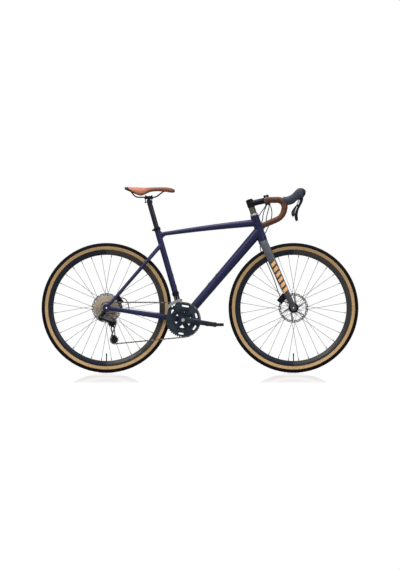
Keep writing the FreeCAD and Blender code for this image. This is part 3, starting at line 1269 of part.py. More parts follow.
def tangent(first, first_radius, first_way, second, second_radius, second_way):
    """Where a belt leaves one circle and meets the next; a way of 1 runs clockwise."""
    run = second - first
    length = run.Length
    heading = math.atan2(run.z, run.x)
    lean = math.asin((first_way * first_radius - second_way * second_radius) / length)
    normal = heading + math.pi / 2 - lean
    out = Vector(math.cos(normal), 0, math.sin(normal))
    return first + out * (first_way * first_radius), second + out * (second_way * second_radius)


def chain_route(cage_turn):
    tension = guide_at + Vector(math.cos(cage_turn), 0, math.sin(cage_turn)) * cage_length
    stops = [
        (bb, ring_teeth, 1, outer_ring_y), (tension, pulley_teeth, 1, gear_y),
        (guide_at, pulley_teeth, -1, gear_y), (rear_axle, COG_TEETH[GEAR], 1, gear_y),
    ]
    runs = []
    for index, stop in enumerate(stops):
        following = stops[(index + 1) % 4]
        leave, meet = tangent(stop[0], pitch_radius(stop[1]), stop[2],
                              following[0], pitch_radius(following[1]), following[2])
        runs.append((leave, meet))
    pieces = []
    total = 0.0
    for index, stop in enumerate(stops):
        centre, teeth, way, across = stop
        enter = runs[index - 1][1] - centre
        leave = runs[index][0] - centre
        start = math.atan2(enter.z, enter.x)
        finish = math.atan2(leave.z, leave.x)
        sweep = (way * (start - finish)) % (2 * math.pi)
        length = sweep * teeth * pitch / (2 * math.pi)
        pieces.append(("arc", centre, pitch_radius(teeth), way, start, sweep, across, total, length, teeth))
        total += length
        run_length = (runs[index][1] - runs[index][0]).Length
        pieces.append(("run", runs[index][0], runs[index][1], across, stops[(index + 1) % 4][3], total, run_length))
        total += run_length
    return pieces, total, tension


cage_turn = math.radians(-83)
wanted = 2 * pitch * round(chain_route(cage_turn)[1] / (2 * pitch))
for attempt in range(40):
    nudge = math.radians(0.01)
    length_here = chain_route(cage_turn)[1]
    slope = (chain_route(cage_turn + nudge)[1] - length_here) / nudge
    cage_turn -= (length_here - wanted) / slope
route, route_length, tension_at = chain_route(cage_turn)
link_count = int(round(route_length / pitch))


def pin_at(distance):
    """A chain pin's place at a distance along the route."""
    distance = distance % route_length
    for piece in route:
        start, length = (piece[7], piece[8]) if piece[0] == "arc" else (piece[5], piece[6])
        if start <= distance <= start + length:
            share = (distance - start) / length
            if piece[0] == "run":
                place = piece[1] + (piece[2] - piece[1]) * share
                held = min(30.0 / length, 0.4)
                eased = min(max((share - held) / (1 - 2 * held), 0), 1)
                return Vector(place.x, piece[3] + (piece[4] - piece[3]) * eased, place.z)
            turn = piece[4] - piece[3] * piece[5] * share
            return piece[1] + v(piece[2] * math.cos(turn), piece[6], piece[2] * math.sin(turn))
    return pin_at(0)


def phase_on(index):
    """The angle of some chain pin on a stop of the route, for its tooth gaps."""
    piece = route[2 * index]
    first = math.ceil(piece[7] / pitch) * pitch
    return piece[4] - piece[3] * (first - piece[7]) * 2 * math.pi / (piece[9] * pitch)


# Chainrings

tooth = float(d.tooth_thickness)
outer_radius = pitch_radius(ring_teeth)
inner_radius = pitch_radius(inner_teeth)
big_ring = sprocket_blank(ring_teeth, phase_on(0) + math.radians(crank_turn), tooth)
big_ring = big_ring.fuse(cylinder(outer_radius - 6.5, 3.0, v(0, -1.8, 0), ALONG_Y))
big_ring = big_ring.cut(cylinder(57, 20, v(0, -10, 0), ALONG_Y))
for turn in bolt_turns:
    tab = capsule(v(55, 0, 0), v(70, 0, 0), 9, 13, -1.8, 1.2)
    big_ring = big_ring.fuse(spun(tab, turn, ORIGIN))
for turn, half_slot in ((90, 9), (-90, 16), (-152, 9), (26, 9), (-26, 9)):
    slot = capsule(v(74.5, 0, -half_slot), v(74.5, 0, half_slot), 4.6, 4.6, -5, 5)
    big_ring = big_ring.cut(spun(slot, turn, ORIGIN))
big_ring.translate(Vector(0, outer_ring_y, 0))
small_ring = sprocket_blank(inner_teeth, 0, tooth)
small_ring = small_ring.fuse(cylinder(inner_radius - 6.5, 2.6, v(0, -1.6, 0), ALONG_Y))
small_ring = small_ring.cut(cylinder(43, 20, v(0, -10, 0), ALONG_Y))
for turn in bolt_turns:
    tab = capsule(v(40, 0, 0), v(49, 0, 0), 8, 9, -1.6, 1.0)
    small_ring = small_ring.fuse(spun(tab, turn, ORIGIN))
small_ring.translate(Vector(0, inner_ring_y, 0))
bolts_cut = Part.Compound(ring_bolts)
big_ring = big_ring.cut(bolts_cut)
small_ring = small_ring.cut(bolts_cut)
crank_place = Placement(bb, Rotation(ALONG_Y, crank_turn))
left_crank_place = Placement(bb, Rotation(ALONG_Y, crank_turn + 180))


def placed(name, place, *shapes):
    held = feature(name, *shapes)
    held.Placement = place
    return held


right_crank = node("right_crank_arm", placed("right_crank_shape", crank_place, right_arm))
left_crank = node("left_crank_arm", placed("left_crank_shape", left_crank_place, left_arm))
node("chainrings", placed("chainring_shapes", crank_place, big_ring, small_ring, *ring_bolts))
pedal_near = half_q + 8.5
pedal_far = pedal_near + float(d.pedal_width)
pedal_spindle = cylinder(7, 20, v(arm_length, half_q - 12, 0), ALONG_Y).fuse(
    cylinder(5, float(d.pedal_width) - 6, v(arm_length, half_q + 8, 0), ALONG_Y))
right_spindle = mirrored(pedal_spindle)
spindle_left = pedal_spindle.copy()
spindle_left.rotate(ORIGIN, ALONG_Y, 180)
node("pedal_spindles", placed("pedal_spindle_shapes", crank_place, right_spindle, spindle_left))


def pedal_shape():
    half = float(d.pedal_length) / 2
    thick = float(d.pedal_thickness) / 2
    outside = box_between(v(-half, pedal_near, -thick), v(half, pedal_far, thick))
    corner_edges = [edge for edge in outside.Edges if abs(edge.tangentAt(edge.FirstParameter).z) > 0.9]
    outside = outside.makeFillet(12, corner_edges)
    for side in (-1, 1):
        near = 14 * side
        far = (half - 9) * side
        window = box_between(v(min(near, far), pedal_near + 11, -30), v(max(near, far), pedal_far - 11, 30))
        outside = outside.cut(window)
    core = cylinder(11, float(d.pedal_width), v(0, pedal_near, 0), ALONG_Y)
    bore = cylinder(5 + float(d.pivot_clearance), float(d.pedal_width) - 4, v(0, pedal_near - 1, 0), ALONG_Y)
    return outside.fuse(core).cut(bore).removeSplitter()


pedal = pedal_shape()
arm_along = Rotation(ALONG_Y, crank_turn).multVec(ALONG_X) * arm_length
node("left_pedal", placed("left_pedal_shape", Placement(bb - arm_along, Rotation()), pedal))
node("right_pedal", placed("right_pedal_shape", Placement(bb + arm_along, Rotation()), mirrored(pedal)))

# Bottom bracket cups

cup_play = d.bb_spindle_diameter / 2 + d.bb_spindle_clearance
half_shell = d.bb_shell_width / 2
cup_out = half_shell + d.bb_cup_width
cups = []
for name, side in (("left_cup", 1), ("right_cup", -1)):
    cups.append(turned(name, [
        (cup_play, side * (half_shell - 14)), (d.bb_bore_diameter / 2, side * (half_shell - 14)),
        (d.bb_bore_diameter / 2, side * half_shell), (d.bb_cup_diameter / 2, side * half_shell),
        (d.bb_cup_diameter / 2, side * (cup_out - 1)), (d.bb_cup_diameter / 2 - 1, side * cup_out),
        (cup_play, side * cup_out),
    ], at=bb))
node("bottom_bracket_cups", *cups)

# Cassette and freehub

freehub_radius = 17.4
sprockets = []
for index, teeth in enumerate(COG_TEETH):
    phase = phase_on(3) if index == GEAR else 0.0
    cog = sprocket_blank(teeth, phase, tooth)
    cog = cog.cut(cylinder(freehub_radius + 0.05, 20, v(0, -10, 0), ALONG_Y))
    if teeth >= 17:
        web_high = pitch_radius(teeth) - 7.5
        web_low = 23.0
        if web_high - web_low > 5:
            for arm in range(6):
                mid = (web_high + web_low) / 2
                hole = cylinder((web_high - web_low) / 2.3, 20, v(mid, -10, 0), ALONG_Y)
                cog = cog.cut(spun(hole, 60 * arm + 9 * index, ORIGIN))
    cog.translate(Vector(0, -float(d.first_cog_line) + index * float(d.cog_pitch), 0))
    sprockets.append(cog)
    if index:
        low = -float(d.first_cog_line) + (index - 1) * float(d.cog_pitch) + tooth / 2
        spacer = cylinder(20.5, float(d.cog_pitch) - tooth, v(0, low, 0), ALONG_Y)
        if index <= 1:
            spacer = cylinder(18.3, float(d.cog_pitch) - tooth, v(0, low, 0), ALONG_Y)
        sprockets.append(spacer.cut(cylinder(freehub_radius + 0.05, 9, v(0, low - 2, 0), ALONG_Y)))
cassette_end = -float(d.first_cog_line) - tooth / 2
freehub_start = -float(d.rear_right_flange) - 4.4
sleeve_play = float(d.hub_bearing_inner) / 2 + float(d.axle_clearance)
freehub = cylinder(freehub_radius, freehub_start - cassette_end, v(0, cassette_end, 0), ALONG_Y)
freehub = freehub.cut(cylinder(sleeve_play, 90, v(0, -80, 0), ALONG_Y))
lockring = cylinder(18.2, 1.6, v(0, cassette_end - 1.6, 0), ALONG_Y)
lockring = lockring.cut(cylinder(12, 9, v(0, cassette_end - 5, 0), ALONG_Y))
node("cassette", placed("cassette_shapes", Placement(rear_axle, Rotation()), *sprockets, freehub, lockring))

# Chain


def link_plate(low, high):
    neck = capsule(v(0, 0, 0), v(pitch, 0, 0), 2.9, 2.9, low, high)
    ends = [cylinder(4.05, high - low, v(x, low, 0), ALONG_Y) for x in (0, pitch)]
    return neck.fuse(ends).removeSplitter()


pin_radius = 1.8
inner_link = link_plate(1.1, 1.85).fuse([
    link_plate(-1.85, -1.1),
    cylinder(roller, 2.2, v(0, -1.1, 0), ALONG_Y),
    cylinder(roller, 2.2, v(pitch, -1.1, 0), ALONG_Y),
])
for x in (0, pitch):
    inner_link = inner_link.cut(cylinder(pin_radius + 0.05, 9, v(x, -4, 0), ALONG_Y))
outer_link = link_plate(1.95, 2.7).fuse([
    link_plate(-2.7, -1.95),
    cylinder(pin_radius, 5.4, v(0, -2.7, 0), ALONG_Y),
    cylinder(pin_radius, 5.4, v(pitch, -2.7, 0), ALONG_Y),
])
inner_link = inner_link.removeSplitter()
outer_link = outer_link.removeSplitter()
links = []
for index in range(link_count):
    here = pin_at(index * route_length / link_count)
    there = pin_at((index + 1) * route_length / link_count)
    run = unit(there - here)
    middle = (here + there) * 0.5
    across = unit(ALONG_Y - run * run.y)
    up = run.cross(across)
    frame = Matrix(run.x, across.x, up.x, 0, run.y, across.y, up.y, 0, run.z, across.z, up.z, 0, 0, 0, 0, 1)
    link = (inner_link if index % 2 else outer_link).copy()
    link.Placement = Placement(middle, Rotation(frame)).multiply(Placement(Vector(-pitch / 2, 0, 0), Rotation()))
    links.append(link)
node("chain", feature("chain_links", *links))


# Rear derailleur: a slanted parallelogram between two knuckles

slant = math.radians(36)
link_axis = v(0, math.sin(slant), math.cos(slant))
link_run = v(58, 0, -20)
link_side = unit(link_axis.cross(link_run))
link_ahead = unit(link_side.cross(link_axis))
derailleur_y = -84.0
upper_mid = rear_axle + v(-24, derailleur_y, -53)
lower_mid = upper_mid + link_run
link_gap = 7.0
link_pin = 1.6
LINK_LOW = -10.0
LINK_HIGH = 42.0


def in_link_frame(shape, at):
    """Place a shape drawn with X ahead, Y to the side and Z along the link pins."""
    frame = Matrix(link_ahead.x, link_side.x, link_axis.x, 0, link_ahead.y, link_side.y, link_axis.y, 0,
                   link_ahead.z, link_side.z, link_axis.z, 0, 0, 0, 0, 1)
    copy = shape.copy()
    copy.Placement = Placement(at, Rotation(frame)).multiply(copy.Placement)
    return copy


def link_shape(root, half_thickness, half_height, eye_radius, eye_half):
    corners = [
        root - link_side * half_thickness - link_axis * half_height,
        root + link_side * half_thickness - link_axis * half_height,
        root + link_side * half_thickness + link_axis * half_height,
        root - link_side * half_thickness + link_axis * half_height,
    ]
    bar = outline_face(corners).extrude(link_run)
    eyes = [cylinder(eye_radius, 2 * eye_half, spot - link_axis * eye_half, link_axis)
            for spot in (root, root + link_run)]
    return bar.fuse(eyes)


def link_rooms(at_far_end):
    """The space that both links sweep, seen from one of the knuckles."""
    rooms = []
    for side in (-1, 1):
        root = upper_mid + link_side * (side * link_gap)
        for swing in (LINK_LOW - 2, 4, 18, 31, LINK_HIGH + 2):
            room = link_shape(root, 3.2, 7.0, 4.9, 7.5)
            room.rotate(root + link_run if at_far_end else root, link_axis, swing)
            rooms.append(room)
    return rooms[0].fuse(rooms[1:])


def knuckle_fork(at, wall_from, wall_to):
    ears = [box_between(v(min(wall_from, -5), -12.5, low), v(max(wall_to, 5), 12.5, low + 3.0))
            for low in (-10.6, 7.6)]
    wall = box_between(v(wall_from, -12.5, -10.6), v(wall_to, 12.5, 10.6))
    return in_link_frame(ears[0].fuse([ears[1], wall]), at)


def knuckle_pins(at):
    pins = [cylinder(link_pin, 20.4, at + link_side * (side * link_gap) - link_axis * 10.2, link_axis)
            for side in (-1, 1)]
    return pins


outer_arm = link_shape(upper_mid - link_side * link_gap, 2.4, 6.2, 4.2, 7.2)
inner_arm = link_shape(upper_mid + link_side * link_gap, 2.4, 6.2, 4.2, 7.2)
pin_bores = [cylinder(link_pin + float(d.pivot_clearance), 40, spot + link_side * (side * link_gap) - link_axis * 20,
                      link_axis) for spot in (upper_mid, lower_mid) for side in (-1, 1)]
pin_bores = Part.Compound(pin_bores)
node("rear_derailleur_outer_link", feature("outer_link_shape", outer_arm.cut(pin_bores).removeSplitter()))
node("rear_derailleur_inner_link", feature("inner_link_shape", inner_arm.cut(pin_bores).removeSplitter()))

hanger_y = -half_hub - 8
mount_barrel = cylinder(9.5, 14, hanger_bolt + v(0, hanger_y - 14.2, 0), ALONG_Y)
mount_bolt = cylinder(5, 24, hanger_bolt + v(0, hanger_y - 16, 0), ALONG_Y)
mount_head = cylinder(6.5, 3, hanger_bolt + v(0, hanger_y - 17, 0), ALONG_Y)
mount_web = capsule(hanger_bolt, v(upper_mid.x - 12, 0, upper_mid.z + 2), 8.5, 8, hanger_y - 13, hanger_y - 1)
upper_knuckle = mount_web.fuse([mount_barrel, knuckle_fork(upper_mid, -14, -7)])
upper_knuckle = upper_knuckle.cut(link_rooms(False)).fuse(knuckle_pins(upper_mid) + [mount_bolt, mount_head])
upper_knuckle = max(upper_knuckle.Solids, key=lambda solid: solid.Volume)
node("rear_derailleur_body", feature("upper_knuckle_shape", upper_knuckle))

plate_gap = 4.7
plate_thick = 1.8
outer_plate_y = gear_y - plate_gap - plate_thick
stub_end = outer_plate_y - 8
pivot_barrel = cylinder(10, outer_plate_y - 0.4 - stub_end + 2, v(pivot_at.x, stub_end - 2, pivot_at.z), ALONG_Y)
pivot_bore = cylinder(6 + float(d.pivot_clearance), 12, v(pivot_at.x, stub_end - 0.2, pivot_at.z), ALONG_Y)
lower_web = capsule(v(lower_mid.x + 8, 0, lower_mid.z), pivot_at, 8.5, 9.5, derailleur_y - 4, stub_end + 2)
lower_knuckle = pivot_barrel.fuse([lower_web, knuckle_fork(lower_mid, 7, 14)])
lower_knuckle = lower_knuckle.cut(link_rooms(True)).fuse(knuckle_pins(lower_mid)).cut(pivot_bore)
lower_knuckle = max(lower_knuckle.Solids, key=lambda solid: solid.Volume)
node("rear_derailleur_knuckle", feature("lower_knuckle_shape", lower_knuckle))

cage_plates = []
for low in (outer_plate_y, gear_y + plate_gap):
    upper = capsule(pivot_at, guide_at, 9.5, 9.5, low, low + plate_thick)
    lower = capsule(guide_at, tension_at, 10, 9, low, low + plate_thick)
    window_start = guide_at + (tension_at - guide_at) * 0.3
    window_end = guide_at + (tension_at - guide_at) * 0.68
    window = capsule(window_start, window_end, 4.2, 4.2, low - 2, low + plate_thick + 2)
    cage_plates.append(lower.cut(window) if low > gear_y else upper.fuse(lower).cut(window))
cage_span = 2 * (plate_gap + plate_thick)
pulley_bolts = [cylinder(2.5, cage_span + 1.6, spot + v(0, outer_plate_y - 0.8, 0), ALONG_Y)
                for spot in (guide_at, tension_at)]
cage_stub = cylinder(6, 8, v(pivot_at.x, stub_end + 0.4, pivot_at.z), ALONG_Y)
cage = cage_plates[0].fuse([cage_plates[1], cage_stub] + pulley_bolts).removeSplitter()
node("rear_derailleur_cage", feature("cage_shape", cage))


def pulley_shape(stop):
    wheel = sprocket_blank(pulley_teeth, phase_on(stop), 2.0)
    wheel = wheel.fuse(cylinder(8, 2 * plate_gap - 0.8, v(0, 0.4 - plate_gap, 0), ALONG_Y))
    return wheel.cut(cylinder(2.5 + float(d.pivot_clearance), 40, v(0, -20, 0), ALONG_Y))


node("guide_pulley", placed("guide_pulley_shape", Placement(guide_at + v(0, gear_y, 0), Rotation()), pulley_shape(2)))
node("tension_pulley", placed("tension_pulley_shape", Placement(tension_at + v(0, gear_y, 0), Rotation()),
                              pulley_shape(1)))

# Front derailleur

swing_top = bb + v(-36, outer_ring_y + 3.4, 144)
swing_low = swing_top + v(0, 0, -22)
band_at = on_seat_tube(146)
band = cylinder(d.seat_tube_diameter / 2 + 3, 16, band_at - seat_up * 8, seat_up).cut(
    cylinder(d.seat_tube_diameter / 2, 60, band_at - seat_up * 30, seat_up))
changer_arm = box_between(v(swing_top.x - 9, swing_top.y - 8, swing_top.z - 7),
                          v(swing_top.x + 9, -float(d.seat_tube_diameter) / 2 + 4, swing_top.z + 8))
changer_arm = changer_arm.cut(cylinder(d.seat_tube_diameter / 2, 90, band_at - seat_up * 45, seat_up))
swing_room = cylinder(5.5, 12.6, swing_top - ALONG_X * 6.3, ALONG_X).fuse(
    box_between(swing_top + v(-6.3, -5.2, -30), swing_top + v(6.3, 9, 0)))
swing_pin = cylinder(1.6, 17.6, swing_top - ALONG_X * 8.8, ALONG_X)
changer = band.fuse(changer_arm).cut(swing_room).fuse(swing_pin)
changer = max(changer.Solids, key=lambda solid: solid.Volume)
node("front_derailleur_body", feature("changer_shape", changer))
pin_play = 1.6 + float(d.pivot_clearance)
swing = box_between(swing_low + v(-6, -2.4, 0), swing_top + v(6, 2.4, 0)).fuse([
    cylinder(4.4, 12, swing_top - ALONG_X * 6, ALONG_X), cylinder(4.4, 12, swing_low - ALONG_X * 6, ALONG_X)])
swing = swing.cut(cylinder(pin_play, 40, swing_top - ALONG_X * 20, ALONG_X)).cut(
    cylinder(pin_play, 40, swing_low - ALONG_X * 20, ALONG_X))
node("front_derailleur_link", feature("swing_shape", swing.removeSplitter()))


def ring_sector(inner, outer, start, finish, low, high):
    """A flat arc about the crank axis, between two angles from +X towards +Z."""
    def spot(radius, degrees):
        turn = math.radians(degrees)
        return bb + Vector(radius * math.cos(turn), low, radius * math.sin(turn))
    middle = (start + finish) / 2
    wire = Part.Wire([
        Part.Arc(spot(outer, start), spot(outer, middle), spot(outer, finish)).toShape(),
        Part.LineSegment(spot(outer, finish), spot(inner, finish)).toShape(),
        Part.Arc(spot(inner, finish), spot(inner, middle), spot(inner, start)).toShape(),
        Part.LineSegment(spot(inner, start), spot(outer, start)).toShape(),
    ])
    return Part.Face(wire).extrude(Vector(0, high - low, 0))


tip_radius = outer_radius + 3.1
cage_low = outer_ring_y - 6.6
cage_high = outer_ring_y + 6.6
outer_side = ring_sector(tip_radius + 2.4, tip_radius + 17, 92, 146, cage_low, cage_low + 1.6)
inner_side = ring_sector(tip_radius + 1.0, tip_radius + 17, 92, 146, cage_high - 1.6, cage_high)
bridge = ring_sector(tip_radius + 14, tip_radius + 17, 97, 112, cage_low, cage_high)
tail = ring_sector(tip_radius + 4, tip_radius + 7, 143, 146, cage_low, cage_high)
lug_out = box_between(v(swing_low.x - 9, swing_low.y - 4, bb.z + tip_radius + 10.5),
                      v(swing_low.x - 6.3, swing_low.y + 4, swing_low.z + 4))
lug_in = box_between(v(swing_low.x + 6.3, swing_low.y - 4, bb.z + tip_radius + 10.5),
                     v(swing_low.x + 9, swing_low.y + 4, swing_low.z + 4))
low_pin = cylinder(1.6, 17.6, swing_low - ALONG_X * 8.8, ALONG_X)
changer_cage = outer_side.fuse([inner_side, bridge, tail, lug_out, lug_in, low_pin])
changer_cage = max(changer_cage.Solids, key=lambda solid: solid.Volume)
node("front_derailleur_cage", feature("changer_cage_shape", changer_cage.removeSplitter()))

# Brake calipers


def caliper_set(centre, rotor_y, outward_turn):
    """Body, fixed pad and moving pad about a rotor; drawn at the axle and turned into place."""
    rotor_mid = float(d.rotor_radius) - float(d.rotor_track) / 2
    half = float(d.rotor_thickness) / 2
    gap = 0.6
    pad_thick = 4.0
    body = box_between(v(rotor_mid - 12, rotor_y - 17, -25), v(rotor_mid + 22, rotor_y + 17, 25))
    long_edges = [edge for edge in body.Edges if abs(edge.tangentAt(edge.FirstParameter).z) > 0.9]
    body = body.makeFillet(6, long_edges)
    slot_half = half + gap + pad_thick
    slot = box_between(v(rotor_mid - 30, rotor_y - slot_half - 0.5, -13), v(rotor_mid + 9, rotor_y + slot_half, 13))
    disc_slot = box_between(v(rotor_mid - 30, rotor_y - 2.2, -60), v(rotor_mid + 10, rotor_y + 2.2, 60))
    body = body.cut(slot).cut(disc_slot)
    fixed = box_between(v(rotor_mid - 8, rotor_y + half + gap, -12), v(rotor_mid + 8, rotor_y + slot_half, 12))
    moving = box_between(v(rotor_mid - 8, rotor_y - slot_half, -12), v(rotor_mid + 8, rotor_y - half - gap, 12))
    shapes = []
    for shape in (body, fixed, moving):
        shape = spun(shape, -outward_turn, ORIGIN)
        shape.translate(centre)
        shapes.append(shape)
    return shapes


front_rotor_y = float(d.front_hub_width) / 2 - float(d.front_rotor_inset)
rear_rotor_y = float(d.rear_hub_width) / 2 - float(d.rear_rotor_inset)
front_body, front_fixed, front_moving = caliper_set(front_axle, front_rotor_y, 141)
fork_solid = fork.Shape
leg_side = front_rotor_y + 10
foot_front = capsule(front_axle + v(-60, 0, 52), front_axle + v(-24, 0, 66), 13, 13, leg_side, leg_side + 9)
front_body = front_body.fuse(foot_front).cut(fork_solid)
front_body = max(front_body.Solids, key=lambda solid: solid.Volume)
node("front_brake_caliper", feature("front_caliper_shapes", front_body, front_fixed))
node("front_brake_pad", feature("front_pad_shape", front_moving))
rear_body, rear_fixed, rear_moving = caliper_set(rear_axle, rear_rotor_y, 35)
foot_rear = capsule(rear_axle + v(62, 0, 40), rear_axle + v(74, 0, 2), 12, 12, rear_rotor_y + 8, rear_rotor_y + 17)
rear_body = rear_body.fuse(foot_rear).cut(chainstay).cut(seatstay).cut(dropout)
rear_body = max(rear_body.Solids, key=lambda solid: solid.Volume)
node("rear_brake_caliper", feature("rear_caliper_shapes", rear_body, rear_fixed))
node("rear_brake_pad", feature("rear_pad_shape", rear_moving))

# Cables and hoses

cable = float(d.cable_radius)
down_solid = oval_loft(down_stations)


def loom(points, *cutters):
    """A housing along its route, trimmed where it enters other pieces."""
    cord = swept(cord_path(points), cable)
    for cutter in cutters:
        cord = cord.cut(cutter)
    return max(cord.Solids, key=lambda solid: solid.Volume)


tape_gap = float(d.tape_start) - 0.2
tape_pair = Part.Compound([tape, mirrored(tape)])
port_high = bb + down_along * ((down_front - bb).Length - 62)
port_middle = bb + down_along * ((down_front - bb).Length - 84)
port_low = bb + down_along * ((down_front - bb).Length - 106)
gear_cable = loom([
    bar_centre + v(3, -tape_gap, -14.5), bar_centre + v(1, -50, -24), head_top + v(46, -24, 12),
    head_top + v(44, 12, -30), head_top + v(16, 36, -72), port_middle + v(6, 30, 10), port_middle,
], down_solid, tape_pair)
changer_cable = loom([
    bar_centre + v(3, tape_gap, -14.5), bar_centre + v(1, 50, -24), head_top + v(28, 34, 8),
    head_top + v(6, 31, -46), port_high + v(3, 26, 6), port_high,
], down_solid, tape_pair)
rear_hose = loom([
    bar_centre + v(11, -tape_gap, -10), bar_centre + v(16, -54, -26), head_top + v(64, -34, -6),
    head_top + v(62, 14, -52), head_top + v(34, 40, -98), port_low + v(10, 32, 14), port_low,
], down_solid, tape_pair)
stay_exit = rear_axle + v(62, -72.5, -11)
gear_tail = loom([
    stay_exit, rear_axle + v(50, -89, -26), rear_axle + v(17, -91, -29), hanger_bolt + v(4, -88, 0.5),
], mirrored(chainstay), upper_knuckle)
hose_tail = loom([
    rear_axle + v(122, 64.5, -18), rear_axle + v(117, 63, 24), rear_axle + v(98, 59, 54),
    rear_axle + v(76, 57, 53),
], chainstay, rear_body)
node("frame_cables", feature("frame_cable_shapes", gear_cable, changer_cable, rear_hose, gear_tail, hose_tail))
front_hose = loom([
    bar_centre + v(9, tape_gap, -12), bar_centre + v(26, 54, -34), bar_centre + v(30, 44, -95),
    head_top + v(66, 40, -80), below_head(24, -34, 45), below_head(112, -16, 45), below_head(222, -7, 50),
    front_axle + v(-84, 46, 92), front_axle + v(-70, 42, 56),
], front_body, fork_solid, tape_pair)
node("front_brake_hose", feature("front_hose_shape", front_hose))


# Check every piece, then write it

doc.recompute()
faulty = []
for item in doc.Objects:
    if any(word in ("Invalid", "Error") for word in item.State):
        faulty.append(item.Label)
for piece in NODES:
    shape = piece.Shape
    if shape.isNull() or not shape.isValid() or not shape.Solids:
        faulty.append(piece.Label)
if faulty:
    raise RuntimeError("pieces at fault: " + ", ".join(faulty))
os.makedirs("parts", exist_ok=True)
for piece in NODES:
    Part.export([piece], os.path.join("parts", piece.Label + ".step"))
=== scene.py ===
"""Looks for the gravel bike: paint, leather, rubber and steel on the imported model, laid out as an add-on."""

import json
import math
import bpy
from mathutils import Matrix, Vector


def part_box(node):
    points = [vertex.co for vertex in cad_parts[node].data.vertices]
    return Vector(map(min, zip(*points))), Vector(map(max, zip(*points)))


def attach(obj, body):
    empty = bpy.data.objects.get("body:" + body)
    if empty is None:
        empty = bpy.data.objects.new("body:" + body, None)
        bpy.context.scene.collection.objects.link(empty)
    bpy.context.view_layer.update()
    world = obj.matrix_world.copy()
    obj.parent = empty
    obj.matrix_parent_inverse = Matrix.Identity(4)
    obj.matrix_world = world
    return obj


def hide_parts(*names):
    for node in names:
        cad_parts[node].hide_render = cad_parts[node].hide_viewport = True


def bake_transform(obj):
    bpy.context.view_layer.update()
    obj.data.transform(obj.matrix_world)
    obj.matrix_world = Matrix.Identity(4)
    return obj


bl_info = {
    "name": "Gravel bike looks",
    "version": (1, 0, 0),
    "blender": (4, 5, 0),
    "location": "View3D > Sidebar > Gravel bike",
    "description": "Dresses the packed gravel bike in its finishes and sets it in a studio",
    "category": "Object",
}

import bmesh
import bpy
from mathutils import Vector

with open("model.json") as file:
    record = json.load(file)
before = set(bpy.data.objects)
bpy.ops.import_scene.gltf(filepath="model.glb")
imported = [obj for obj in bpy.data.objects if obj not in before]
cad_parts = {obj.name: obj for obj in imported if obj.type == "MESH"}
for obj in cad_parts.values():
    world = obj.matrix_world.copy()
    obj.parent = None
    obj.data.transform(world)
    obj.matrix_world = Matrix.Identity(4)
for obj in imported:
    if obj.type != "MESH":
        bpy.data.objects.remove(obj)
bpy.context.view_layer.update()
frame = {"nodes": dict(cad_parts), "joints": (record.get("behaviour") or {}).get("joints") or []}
NODES = frame["nodes"]
JOINTS = {joint["name"]: joint for joint in frame["joints"]}

FRONT_AXLE = Vector(JOINTS["front_wheel_spin"]["pos_m"])
REAR_AXLE = Vector(JOINTS["rear_wheel_spin"]["pos_m"])
AXLES = {"front": FRONT_AXLE, "rear": REAR_AXLE}
CRANK_AXLE = Vector(JOINTS["crank_spin"]["pos_m"])
HEAD_FOOT = Vector(JOINTS["steering"]["pos_m"])
STEER_UP = Vector(JOINTS["steering"]["axis"])
STEER_FORWARD = Vector((STEER_UP.z, 0.0, -STEER_UP.x))
HEAD_LENGTH = 0.141
HEAD_TOP = HEAD_FOOT + STEER_UP * HEAD_LENGTH
BAR_CENTRE = Vector((0.358385, 0.0, 0.92794))
MM = 0.001


def srgb(red, green, blue):
    """A colour given from 0 to 255, as Blender's linear light."""
    linear = []
    for channel in (red, green, blue):
        share = channel / 255.0
        linear.append(share / 12.92 if share <= 0.04045 else ((share + 0.055) / 1.055) ** 2.4)
    return tuple(linear)


def colour_setting(title, words, default):
    return bpy.props.FloatVectorProperty(
        name=title, description=words, default=default, size=3, subtype="COLOR", min=0.0, max=1.0)


def length_setting(title, words, default):
    return bpy.props.FloatProperty(
        name=title, description=words, default=default, min=0.0, unit="LENGTH", precision=4)


class BikeColours(bpy.types.PropertyGroup):
    """Finishes of the bike"""

    frame_paint: colour_setting("Frame paint", "Satin indigo of both triangles", srgb(32, 35, 70))
    fork_upper: colour_setting("Fork upper", "Grey of the crown and the tops of the legs", srgb(88, 90, 98))
    fork_lower: colour_setting("Fork lower", "Charcoal of the legs", srgb(70, 72, 77))
    fork_bars: colour_setting("Fork bars", "Plain bars along the legs", srgb(233, 178, 116))
    black_parts: colour_setting("Black parts", "Anodised stem, post, cranks and hubs", srgb(26, 27, 31))
    chainring: colour_setting("Chainrings", "Dark grey rings and crank", srgb(50, 59, 68))
    bright_metal: colour_setting("Bright metal", "Rotors and polished links", srgb(188, 188, 190))
    spoke_metal: colour_setting("Spokes", "Blackened drawn steel", srgb(20, 20, 22))
    sprocket_metal: colour_setting("Sprockets", "Warm nickel of the cassette", srgb(198, 183, 165))
    chain_metal: colour_setting("Chain", "Oiled steel", srgb(146, 140, 133))
    tread: colour_setting("Tread", "Black tread rubber", srgb(17, 15, 15))
    side_wall: colour_setting("Side wall", "Tan tyre walls", srgb(190, 156, 112))
    # The two rim colours are one rim finish, with painted shade on its rear half and painted light on its
    # front half
    rim_shaded_half: colour_setting("Rim, first half", "Blue black of the rim", srgb(33, 39, 48))
    rim_lit_half: colour_setting("Rim, second half", "Dark grey of the rim", srgb(65, 64, 62))
    saddle_leather: colour_setting("Saddle", "Tan saddle cover", srgb(168, 103, 78))
    tape_leather: colour_setting("Bar tape", "Brown bar tape", srgb(90, 53, 34))
    hood_rubber: colour_setting("Hoods", "Grey rubber of the brake hoods", srgb(54, 58, 69))
    spacer_metal: colour_setting("Spacers", "Olive grey spacers", srgb(104, 103, 94))
    plastic: colour_setting("Plastic", "Moulded black plastic", srgb(26, 27, 29))


